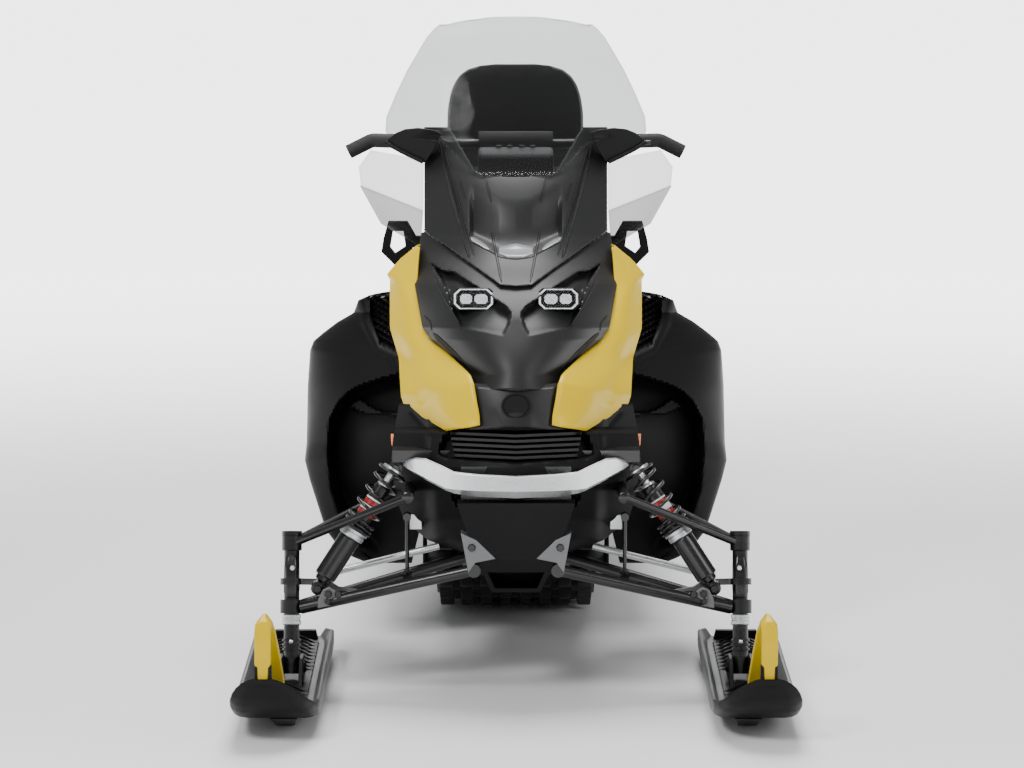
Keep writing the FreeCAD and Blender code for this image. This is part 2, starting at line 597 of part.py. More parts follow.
def build_hood():
    """Hood as an open shell with two lamp recesses."""
    body = new_body("hood")
    loft(body, hood_sections(body, 0))
    loft(body, hood_sections(body, 1), "SubtractiveLoft")
    start = "beam_y + beam_deep + overrun"
    for side in (-1, 1):
        hole = by_shares(BEAM_SHARES, "(beam_wide + 2 * fit_gap)", "(beam_high + 2 * fit_gap)",
                         "beam_x", "beam_z", side)
        outline = sketch(body, "XZ_Plane", hole, f"-({start})")
        extrude(body, outline, f"({start} - hood_front_y + overrun)", "Pocket", back=True)


def build_headlamp():
    """Eight-sided lamp with a dished front."""
    body = new_body("headlamp_left")
    outer = by_shares(BEAM_SHARES, "beam_wide", "beam_high", "beam_x", "beam_z")
    extrude(body, sketch(body, "XZ_Plane", outer, "-beam_y - beam_deep"), "beam_deep")
    inner = by_shares(BEAM_SHARES, "(beam_wide - 2 * beam_rim)", "(beam_high - 2 * beam_rim)",
                      "beam_x", "beam_z")
    extrude(body, sketch(body, "XZ_Plane", inner, "-beam_y"), "beam_dish", "Pocket")


# Level, front edge and rear edge across and along, as shares of the coloured panel
PANEL_LEVEL_SHARES = [
    (0.0, (0.03, 0.0), (0.76, 0.52)),
    (0.34, (0.1, 0.18), (0.84, 0.74)),
    (0.5, (0.5, 0.6), (0.92, 0.86)),
    (0.77, (0.63, 0.8), (0.98, 1.0)),
    (1.0, (0.66, 0.93), (0.68, 1.0)),
]
PANEL_BULGE_SHARES = (0.06, -0.05)
HOOD_CLEAR_SHARE = -0.1
SIDE_CLEAR_SHARE = -0.05


def build_side_panel():
    """Coloured panel that wraps from the nose back along the flank."""
    body = new_body("side_panel_left")
    outlines = []
    for level, front, rear in PANEL_LEVEL_SHARES:
        bulge = [(near + far) / 2 + more for near, far, more in zip(front, rear, PANEL_BULGE_SHARES)]
        face = by_shares([front, bulge, rear], "panel_wide", "panel_long", "panel_in", "panel_front_y")
        face[2] = (f"{face[2][0]} + panel_thick", f"{face[2][1]} + panel_thick")
        back = [(f"{x} - panel_thick", f"{y} + panel_thick") for x, y in reversed(face)]
        outlines.append(sketch(body, "XY_Plane", face + back, f"panel_low + {level} * panel_high"))
    loft(body, outlines)
    loft(body, hood_sections(body, HOOD_CLEAR_SHARE), "SubtractiveLoft")
    loft(body, side_sections(body, SIDE_CLEAR_SHARE), "SubtractiveLoft")


SIDE_ACROSS_SHARES = [0.0, 0.3, 0.58, 0.8, 1.0]
SIDE_REAR_SHARE = 0.8
SIDE_LEVEL_SHARES = [
    (0.0, 0.6, (0.53, 0.53, 0.54, 0.48, 0.46)),
    (0.06, 0.765, (0.48, 0.5, 0.52, 0.42, 0.45)),
    (0.125, 0.85, (0.4, 0.45, 0.48, 0.39, 0.44)),
    (0.287, 0.96, (0.26, 0.31, 0.38, 0.4, 0.46)),
    (0.449, 0.99, (0.14, 0.225, 0.34, 0.4, 0.57)),
    (0.611, 1.0, (0.16, 0.26, 0.42, 0.42, 0.66)),
    (0.676, 0.985, (0.22, 0.31, 0.3, 0.45, 0.675)),
    (0.708, 0.98, (0.18, 0.22, 0.34, 0.48, 0.68)),
    (0.773, 0.96, (0.2, 0.25, 0.375, 0.5, 0.69)),
    (0.838, 0.83, (0.31, 0.365, 0.385, 0.5, 0.66)),
    (0.903, 0.63, (0.355, 0.36, 0.43, 0.49, 0.59)),
    (0.968, 0.55, (0.4, 0.42, 0.44, 0.46, 0.485)),
    (1.0, 0.33, (0.44, 0.45, 0.46, 0.47, 0.48)),
]


def build_side_body():
    """Wide black fairing before the foot well, hollow under its shoulder and open at the rear."""
    body = new_body("side_body_left")
    loft(body, side_sections(body, 0))
    loft(body, side_sections(body, 1), "SubtractiveLoft")


def side_sections(body, inward):
    """Level outlines of the side bodywork, moved inward by a share of its wall."""
    outlines = []
    last = SIDE_LEVEL_SHARES[-1][0]
    base = f"({TUNNEL_SIDE} + fit_gap)"
    for level, out, along in SIDE_LEVEL_SHARES:
        wide = f"((side_out - {base}) * {out} - {inward} * side_wall * 2)"
        points = [(f"{base} + {inward} * side_wall + {across} * {wide}",
                   f"side_front_y + {at} * (side_rear_y - side_front_y) + {inward} * side_wall * 2")
                  for across, at in zip(SIDE_ACROSS_SHARES, along)]
        rear = f"side_rear_y + {max(inward, 0)} * overrun"
        points += [(f"{base} + {inward} * side_wall + {SIDE_REAR_SHARE} * {wide}", rear),
                   (f"{base} + {inward} * side_wall", rear)]
        up = f"side_low + {level} * side_high"
        if level == 0.0:
            up += f" + {inward} * side_wall"
        if level == last:
            up += f" - {inward} * side_wall"
        outlines.append(sketch(body, "XY_Plane", points, up))
    return outlines


def hood_crown(y):
    """Height of the hood's middle line at a station."""
    at = (y - s.hood_front_y) / (s.hood_rear_y - s.hood_front_y)
    for (low, _, near), (high, _, far) in zip(HOOD_LEVEL_SHARES, HOOD_LEVEL_SHARES[1:]):
        if near[0] <= at <= far[0]:
            return s.hood_low + s.hood_high * (low + (high - low) * (at - near[0]) / (far[0] - near[0]))
    return s.hood_low + s.hood_high


def build_windshield():
    """Tall clear screen, bent round a plan curve and narrowed to a rounded top."""
    level_shares = [0.0, 0.13, 0.3, 0.5, 0.7, 0.87, 0.96, 1.0]
    half_shares = [0.3, 0.56, 1.0, 0.94, 0.84, 0.7, 0.55, 0.34]
    wrap_shares = [0.0, 0.5, 1.0, 1.0, 1.0, 1.0, 1.0, 1.0]
    base = hood_crown(s.screen_y + s.screen_thick) + s.fit_gap
    wires = []
    steps = 8
    for level, half, wrap in zip(level_shares, half_shares, wrap_shares):
        front = []
        back = []
        for i in range(steps + 1):
            across = (2 * i / steps - 1) * half
            y = s.screen_y + s.screen_lean * level + s.screen_wrap * wrap * across * across
            place = V(across * s.screen_half, y, base + level * s.screen_high)
            front.append(place)
            back.append(place + V(0, s.screen_thick, 0))
        wires.append(Part.makePolygon(front + back[::-1] + front[:1]))
    return solid("windshield", Part.makeLoft(wires, True, True))


def build_dash():
    """Dash wings, clear deflectors and gauge pod."""
    wing_shares = [(0.0, 0.0), (0.0, 0.92), (0.2, 1.0), (0.72, 0.9), (1.0, 0.68), (0.95, 0.58), (0.12, 0.3)]
    flap_shares = [(0.0, 0.2), (0.66, 0.0), (0.97, 0.62), (1.0, 1.0), (0.1, 0.98)]
    wing = new_body("dash_wing_left")
    outline = by_shares(wing_shares, "wing_wide", "wing_high",
                        f"(hood_half * {HOOD_UPPER_SHARE} + fit_gap)", "wing_low")
    extrude(wing, sketch(wing, "XZ_Plane", outline, "-wing_front_y"), "wing_deep", back=True)
    flap = new_body("deflector_left")
    outline = by_shares(flap_shares, "flap_wide", "flap_high", "flap_in", "flap_low")
    extrude(flap, sketch(flap, "XZ_Plane", outline, "-wing_front_y - wing_deep"), "flap_thick", back=True)
    pod = new_body("gauge_pod")
    crown = "(hood_low + hood_high)"
    notch_share, face_share, brow_share = 1.2, 0.6, 0.3
    back = both_sides([(f"hood_half * {HOOD_UPPER_SHARE}", f"{crown} - dash_high"),
                       (f"hood_half * {HOOD_UPPER_SHARE}", f"{crown} - dash_thick"),
                       (f"pod_half * {notch_share}", f"{crown} - pod_high")])
    extrude(pod, sketch(pod, "XZ_Plane", back, "-hood_rear_y"), "dash_thick", back=True)
    start = "(hood_rear_y + dash_thick)"
    outline = [(start, f"{crown} - pod_high"), (f"{start} + pod_long", f"{crown} - pod_high"),
               (f"{start} + pod_long", f"{crown} - pod_high * {face_share}"),
               (f"{start} + pod_long * {brow_share}", crown), (start, crown)]
    extrude(pod, sketch(pod, "YZ_Plane", outline), "2 * pod_half", middle=True)


TANK_SIDE_SHARES = [(0.0, 0.0), (1.0, 0.0), (1.0, 0.62), (0.72, 0.94), (0.34, 1.0), (0.0, 0.6)]
SEAT_SIDE_SHARES = [(0.0, 0.0), (1.0, 0.0), (1.0, 0.98), (0.82, 0.9), (0.4, 0.88), (0.0, 1.0)]
PILLION_SIDE_SHARES = [(0.0, 0.0), (1.0, 0.0), (1.0, 0.95), (0.5, 0.92), (0.08, 1.0), (0.0, 0.9)]
BACK_SHARES = [(0.9, 0.0), (1.0, 0.3), (0.96, 0.5), (0.8, 0.86), (0.45, 0.98)]
HOLD_SHARES = [(0.1, 0.36), (0.62, 0.0), (1.0, 0.3), (0.94, 0.6), (0.8, 1.0), (0.24, 1.0), (0.0, 0.66)]
HOLD_GAP_SHARES = [(0.3, 0.42), (0.6, 0.26), (0.74, 0.4), (0.66, 0.78), (0.36, 0.78)]
HOLD_FOOT_SHARES = [(0.0, 0.4), (1.0, 0.4), (1.0, 0.66), (0.0, 0.66)]
HOLD_REACH_SHARE = 0.4


def build_seating():
    """Tank, two seats and backrest."""
    for label, name, shares, front, rear in (
            ("fuel_tank", "tank", TANK_SIDE_SHARES, "tank_front_y", "tank_rear_y"),
            ("rider_seat", "seat", SEAT_SIDE_SHARES, "tank_rear_y", SEAT_SPLIT),
            ("passenger_seat", "pillion", PILLION_SIDE_SHARES, SEAT_SPLIT, PILLION_REAR)):
        body = new_body(label)
        outline = by_shares(shares, f"({rear} - {front})", f"{name}_high", front, "tunnel_top")
        extrude(body, sketch(body, "YZ_Plane", outline), f"2 * {name}_half", middle=True)
    back = new_body("backrest_pad")
    outline = both_sides(by_shares(BACK_SHARES, "back_half", "back_high", "0", "back_low"))
    extrude(back, sketch(back, "XZ_Plane", outline, f"-{BACK_FRONT}"), "back_deep", back=True)


def build_handhold():
    """Loop for the passenger's hand, with the foot that carries it at the seat's side."""
    hold = new_body("handhold_left")
    inner_x = "(hold_x - hold_wide / 2)"
    outline = by_shares(HOLD_SHARES, "hold_wide", "hold_high", inner_x, "hold_low")
    extrude(hold, sketch(hold, "XZ_Plane", outline, f"-{HOLD_FRONT}"), "hold_bar", back=True)
    gap = by_shares(HOLD_GAP_SHARES, "hold_wide", "hold_high", inner_x, "hold_low")
    outline = sketch(hold, "XZ_Plane", gap, f"-{HOLD_FRONT} + overrun")
    extrude(hold, outline, "hold_bar + 2 * overrun", "Pocket")
    foot = by_shares(HOLD_FOOT_SHARES, f"(hold_x - pillion_half - hold_wide * {HOLD_REACH_SHARE})",
                     "hold_high", "pillion_half", "hold_low")
    extrude(hold, sketch(hold, "XZ_Plane", foot, f"-{HOLD_FRONT}"), "hold_bar", back=True)


def build_rear():
    """Rack with the backrest posts, rear hoop, snow flap and tail lamp."""
    thin_share, post_top_share, foot_share, taper_share = 0.8, 0.7, 0.94, 0.9
    seat_end = s.tunnel_rear_y - s.deck_long
    front = seat_end + s.rack_gap
    end = s.tunnel_rear_y + s.rack_over
    thin = s.rack_round * thin_share
    rails = [rod(V(side * s.rack_half, front, s.rack_z), V(side * s.rack_half, end, s.rack_z), s.rack_round)
             for side in (-1, 1)]
    for index in range(int(s.rack_bars)):
        y = front + (index + 0.5) * (end - front) / s.rack_bars
        rails.append(rod(V(-s.rack_half, y, s.rack_z), V(s.rack_half, y, s.rack_z), thin))
    for side in (-1, 1):
        for y in (front + s.rack_round * 4, s.tunnel_rear_y - s.rack_round * 4):
            x = side * s.rack_half
            rails.append(rod(V(x, y, s.tunnel_top), V(x, y, s.rack_z), thin))
    top = s.back_low + s.back_high * post_top_share
    rear = seat_end + s.back_gap + s.back_deep + s.post_round
    for x in (-s.post_x, s.post_x):
        rails.append(rod(V(x, rear, s.tunnel_top), V(x, rear, top), s.post_round))
    rails.append(rod(V(-s.post_x, rear, s.back_low), V(s.post_x, rear, s.back_low),
                     s.post_round * thin_share))
    rails.append(rod(V(-s.rack_half, rear, s.rack_z), V(s.rack_half, rear, s.rack_z), s.rack_round))
    solid("rear_rack", fused(rails))
    outer = s.track_wide / 2 + s.tunnel_gap + s.tunnel_wall + s.hoop_round + s.fit_gap
    start, end = s.tunnel_rear_y - s.hoop_before, s.tunnel_rear_y + s.hoop_over
    hoop = tube_shape([V(-outer, start, s.hoop_z), V(-outer, end, s.hoop_z), V(outer, end, s.hoop_z),
                       V(outer, start, s.hoop_z)], s.hoop_round, s.hoop_round * 5)
    solid("rear_bumper", hoop)
    flap = new_body("snow_flap")
    outline = both_sides([(f"{TUNNEL_SIDE} * {foot_share}", "mud_low"), (TUNNEL_SIDE, "mud_low + mud_drop"),
                          (TUNNEL_SIDE, "tunnel_top - hitch_thick - fit_gap")])
    extrude(flap, sketch(flap, "XZ_Plane", outline, "-tunnel_rear_y"), "mud_thick", back=True)
    tail = new_body("tail_lamp")
    outline = both_sides([("tail_half", "tail_z"), (f"tail_half * {taper_share}", "tail_z + tail_high")])
    rear = f"{BACK_FRONT} + back_deep + 2 * post_round + fit_gap"
    extrude(tail, sketch(tail, "XZ_Plane", outline, f"-({rear})"), "tail_deep", back=True)


def idler_y():
    """Station of the rear axle inside the track."""
    return s.tunnel_rear_y - s.idler_before


def rail_rear_y():
    """Station of the slide rails' rear end."""
    return idler_y() - s.rail_before


CARRIER_SHARE = 0.4
DRIVE_AXLE_SHARE = 1.3
SKID_ARM_SHARE = 0.9


def build_skid():
    """Slide rails, wheels, driving axle and swing arms inside the track."""
    inner_low = s.lug_high + s.belt_thick + s.fit_gap
    nose_centre_z = s.lug_high + s.belt_thick / 2 + s.nose_round
    inner_round = s.nose_round - s.belt_thick / 2 - s.fit_gap
    axle_z = s.lug_high + s.belt_thick / 2 + s.idler_round
    turn = math.radians(s.rail_nose_turn)
    hub = s.axle_round * 2.4
    rails = []
    for side in (-1, 1):
        def at(angle, radius):
            return V(0, s.nose_y - radius * math.sin(angle), nose_centre_z - radius * math.cos(angle))
        low = [V(0, rail_rear_y(), inner_low), V(0, s.nose_y, inner_low)]
        bottom = Part.LineSegment(*low).toShape()
        bend = Part.Arc(low[1], at(turn / 2, inner_round), at(turn, inner_round)).toShape()
        inner = inner_round - s.rail_high
        cap = Part.LineSegment(at(turn, inner_round), at(turn, inner)).toShape()
        back = Part.Arc(at(turn, inner), at(turn / 2, inner), at(0.0, inner)).toShape()
        top = Part.LineSegment(at(0.0, inner), V(0, rail_rear_y(), inner_low + s.rail_high)).toShape()
        end = Part.LineSegment(V(0, rail_rear_y(), inner_low + s.rail_high), low[0]).toShape()
        face = Part.Face(Part.Wire([bottom, bend, cap, back, top, end]))
        face.translate(V(side * s.rail_x - s.rail_thick / 2, 0, 0))
        rail = face.extrude(V(s.rail_thick, 0, 0))
        bracket = Part.Face(Part.makePolygon([
            V(face.BoundBox.XMin, rail_rear_y() - s.bracket_long, inner_low + s.rail_high / 2),
            V(face.BoundBox.XMin, rail_rear_y(), inner_low + s.rail_high / 2),
            V(face.BoundBox.XMin, idler_y() + hub, axle_z),
            V(face.BoundBox.XMin, idler_y() + s.axle_round, axle_z + hub),
            V(face.BoundBox.XMin, idler_y() - hub, axle_z + hub),
            V(face.BoundBox.XMin, rail_rear_y() - s.bracket_long, inner_low + s.rail_high / 2)]))
        rail = fused([rail, bracket.extrude(V(s.rail_thick, 0, 0))])
        rails.append(rail.cut(rod(V(-s.track_wide, idler_y(), axle_z), V(s.track_wide, idler_y(), axle_z),
                                  s.axle_round + s.pin_fit)))
    solid("slide_rails", Part.makeCompound(rails))
    wheels = []
    half = s.track_wide / 2
    inside = s.belt_thick / 2 + s.fit_gap
    for y, z, radius, places in (
            (idler_y(), axle_z, s.idler_round - inside, (-1, 0, 1)),
            (s.carrier_y, s.carrier_z, s.carrier_round - inside, (-CARRIER_SHARE, CARRIER_SHARE))):
        reach = s.tunnel_gap if y == s.carrier_y else -s.tunnel_gap
        wheels.append(rod(V(-half - reach, y, z), V(half + reach, y, z), s.axle_round))
        for place in places:
            x = place * (s.rail_x + s.rail_thick / 2 + s.wheel_side + s.wheel_wide / 2)
            wheels.append(Part.makeCylinder(radius, s.wheel_wide, V(x - s.wheel_wide / 2, y, z), V(1, 0, 0)))
    solid("track_wheels", Part.makeCompound([fused(wheels[:4]), fused(wheels[4:])]))
    wall = half + s.tunnel_gap
    axle = [rod(V(-wall, s.drive_y, s.drive_z), V(wall, s.drive_y, s.drive_z),
                s.axle_round * DRIVE_AXLE_SHARE)]
    for way in (-1, 1):
        start = V(way * s.tooth_x - s.tooth_wide / 2, s.drive_y, s.drive_z)
        axle.append(Part.makeCylinder(s.drive_round - inside, s.tooth_wide, start, V(1, 0, 0)))
    solid("drive_axle", fused(axle))
    arms = []
    for y, z, foot in ((s.arm_front_y, s.arm_front_z, s.arm_foot_y),
                       (s.arm_rear_y, s.arm_rear_z, s.arm_rear_foot_y)):
        drop = inner_low + s.rail_high - s.arm_foot_rise / 2
        arms.append(rod(V(-wall, y, z), V(wall, y, z), s.arm_round))
        reach = s.rail_x - s.rail_thick / 2
        arms.append(rod(V(-reach, foot, drop), V(reach, foot, drop), s.arm_round))
        for side in (-1, 1):
            arms.append(rod(V(side * s.arm_x, y, z), V(side * s.arm_x, foot, drop),
                            s.arm_round * SKID_ARM_SHARE))
    solid("skid_arms", Part.makeCompound([fused(arms[:4]), fused(arms[4:])]))


SKI_STATION_SHARES = [0.0, 0.03, 0.08, 0.16, 0.26, 0.6, 1.0]
SKI_HALF_SHARES = [0.3, 0.72, 0.95, 1.0, 0.95, 0.82, 0.76]
SKI_RISE_SHARES = [1.0, 0.88, 0.5, 0.1, 0.0, 0.0, 0.02]
SKI_LIP_SHARES = [0.0, 0.0, 0.2, 0.5, 1.0, 1.0, 0.6]
SKI_SOLE_SHARE = 0.7
SKI_CHINE_SHARE = 0.6
SKI_TROUGH_SHARES = (0.88, 0.72)
KEEL_SHARES = [(0.2, 1.0), (0.26, 0.0), (0.94, 0.0), (0.98, 1.0), (0.98, 1.4), (0.2, 1.4)]
RIB_HIGH_SHARE = 0.7
RIB_WIDE_SHARE = 1.2
WELL_SHARES = [(-0.7, -0.3), (0.55, -0.3), (0.55, 0.3), (-0.7, 0.3)]
CHEEK_TOP_SHARE = 0.2
LOOP_OUTER_SHARES = [(0.03, 1.0), (0.12, 1.86), (0.3, 1.8), (0.66, 1.2), (1.0, 0.5)]
LOOP_INNER_SHARES = [(0.13, 1.0), (0.16, 1.5), (0.27, 1.5), (0.58, 1.0), (0.72, 0.72), (0.48, 0.6)]
LOOP_FOOT_SHARES = [1.0, 0.66, 0.42, 0.307, 0.1152, 0.03]


def ski_base(at):
    """Height of the ski's sole at a share of its length, without the overall rise of its tip."""
    for index, far in enumerate(SKI_STATION_SHARES[1:]):
        near = SKI_STATION_SHARES[index]
        if near <= at <= far:
            low, high = SKI_RISE_SHARES[index:index + 2]
            return low + (high - low) * (at - near) / (far - near)
    return 0.0


def build_ski():
    """Plastic ski with a scooped nose, raised edges, ribs, keel, saddle and its bolt."""
    ski = new_body("ski_left")
    outlines = []
    long = "(ski_tail_y - ski_tip_y)"
    edge_share, floor_share = SKI_TROUGH_SHARES
    for at, half, rise, lip in zip(SKI_STATION_SHARES, SKI_HALF_SHARES, SKI_RISE_SHARES, SKI_LIP_SHARES):
        wide = f"ski_half * {half}"
        base = f"keel_high + {rise} * ski_tip_z"
        edge = f"{base} + ski_thick + ski_lip * {lip} + fit_gap"
        points = [(f"{wide} * {SKI_SOLE_SHARE}", base), (wide, f"{base} + ski_thick * {SKI_CHINE_SHARE}"),
                  (wide, edge), (f"{wide} * {edge_share}", edge),
                  (f"{wide} * {floor_share}", f"{base} + ski_thick")]
        full = [(f"{SKI_LINE} + ({x})", z) for x, z in points]
        full += [(f"{SKI_LINE} - ({x})", z) for x, z in points[::-1]]
        outlines.append(sketch(ski, "XZ_Plane", full, f"-ski_tip_y - {at} * {long}"))
    loft(ski, outlines)
    keel = by_shares(KEEL_SHARES, long, "keel_high", "ski_tip_y", "0")
    extrude(ski, sketch(ski, "YZ_Plane", keel, f"{SKI_LINE} - keel_half"), "2 * keel_half")
    deck = "keel_high + ski_thick / 2"
    rib = by_shares([(0, 0), (1, 0), (1, RIB_HIGH_SHARE), (0, RIB_HIGH_SHARE)], "rib_thick", "ski_lip",
                    "ski_tip_y + rib_start", deck)
    first = extrude(ski, sketch(ski, "YZ_Plane", rib, SKI_LINE), f"ski_half * {RIB_WIDE_SHARE}", middle=True)
    row = ski.newObject("PartDesign::LinearPattern", "rib_row")
    row.Originals = [first]
    row.Direction = (next(item for item in ski.Origin.OriginFeatures if item.Role == "Y_Axis"), [""])
    row.Mode = "Spacing"
    row.setExpression("Offset", bound("rib_pitch"))
    row.setExpression("Occurrences", bound("ski_ribs"))
    ski.Tip = row
    well = by_shares(WELL_SHARES, "ski_half", "saddle_long", "stance_half", "kingpin_y")
    extrude(ski, sketch(ski, "XY_Plane", well, "keel_high + ski_thick"), "overrun", "Pocket", back=True)
    crown = "keel_high + saddle_high"
    for way, shift in ((-1, " - saddle_thick"), (1, "")):
        start = f"stance_half + {way} * (kingpin_round + saddle_gap){shift}"
        cheek = [("kingpin_y - saddle_long / 2", deck), ("kingpin_y + saddle_long / 2", deck),
                 (f"kingpin_y + saddle_long * {CHEEK_TOP_SHARE}", crown),
                 (f"kingpin_y - saddle_long * {CHEEK_TOP_SHARE}", crown)]
        extrude(ski, sketch(ski, "YZ_Plane", cheek, start), "saddle_thick")
    reach = s.kingpin_round + s.saddle_gap
    bolt = rod(V(s.stance_half - reach, s.kingpin_y, s.kingpin_low),
               V(s.stance_half + reach, s.kingpin_y, s.kingpin_low), s.ski_pin_round)
    doc.recompute()
    NODES.remove(ski)
    ski.Label = "ski_form"
    solid("ski_left", fused([ski.Shape.Solids[0], bolt]))


def build_ski_loop():
    """Handle loop over the ski's nose: an upright front leg, a slanting rear leg and a pointed top."""
    loop = new_body("ski_loop_left")
    base = "(keel_high + ski_thick + ski_tip_z * 0.5)"
    outer = by_shares(LOOP_OUTER_SHARES, "loop_long", "loop_high", "ski_tip_y", base)
    for at in LOOP_FOOT_SHARES:
        rise = ski_base(at * s.loop_long / (s.ski_tail_y - s.ski_tip_y))
        outer.append((f"ski_tip_y + {at} * loop_long",
                      f"keel_high + ski_thick + 2 * fit_gap + {rise} * ski_tip_z"))
    extrude(loop, sketch(loop, "YZ_Plane", outer, LOOP_LINE), "loop_wide", middle=True)
    inner = by_shares(LOOP_INNER_SHARES, "loop_long", "loop_high", "ski_tip_y", base)
    extrude(loop, sketch(loop, "YZ_Plane", inner, LOOP_LINE), "loop_wide + overrun", "Pocket", middle=True)


def steer_place():
    """Place of the kingpin's own frame, with z along the leaning pin."""
    return FreeCAD.Placement(V(s.stance_half, s.kingpin_y, s.kingpin_low),
                             FreeCAD.Rotation(V(1, 0, 0), -s.kingpin_lean_deg))


def along_pin(height):
    """Distance along the leaning kingpin of a height over the ground."""
    return (height - s.kingpin_low) / math.cos(math.radians(s.kingpin_lean_deg))


def ring(low, high, inner, outer):
    """Upright ring between two heights."""
    return Part.makeCylinder(outer, high - low, V(0, 0, low)).cut(
        Part.makeCylinder(inner, high - low + 2 * s.overrun, V(0, 0, low - s.overrun)))


def flank_slant():
    """Sideways run of the front body's slanting flank for each unit of height."""
    return (s.frame_half - s.foot_half) / (s.knee_rise + s.frame_low - s.pan_low)


def flank_half(height):
    """Half width of the front body's slanting flank at a height."""
    return s.pan_half - flank_slant() * max(s.frame_low + s.knee_rise - height, 0.0)


COLLAR_SHARE = 0.7
EYE_GRIP_SHARE = 0.6
SHOCK_STUB_SHARE = 1.3
SHOCK_EYE_SHARE = 0.8
SHOCK_BODY_SHARE = 0.6
SHOCK_SHAFT_SHARE = 0.5
UPPER_PLATE_SHARE = 0.9
SPRING_VALLEY_SHARE = 0.8


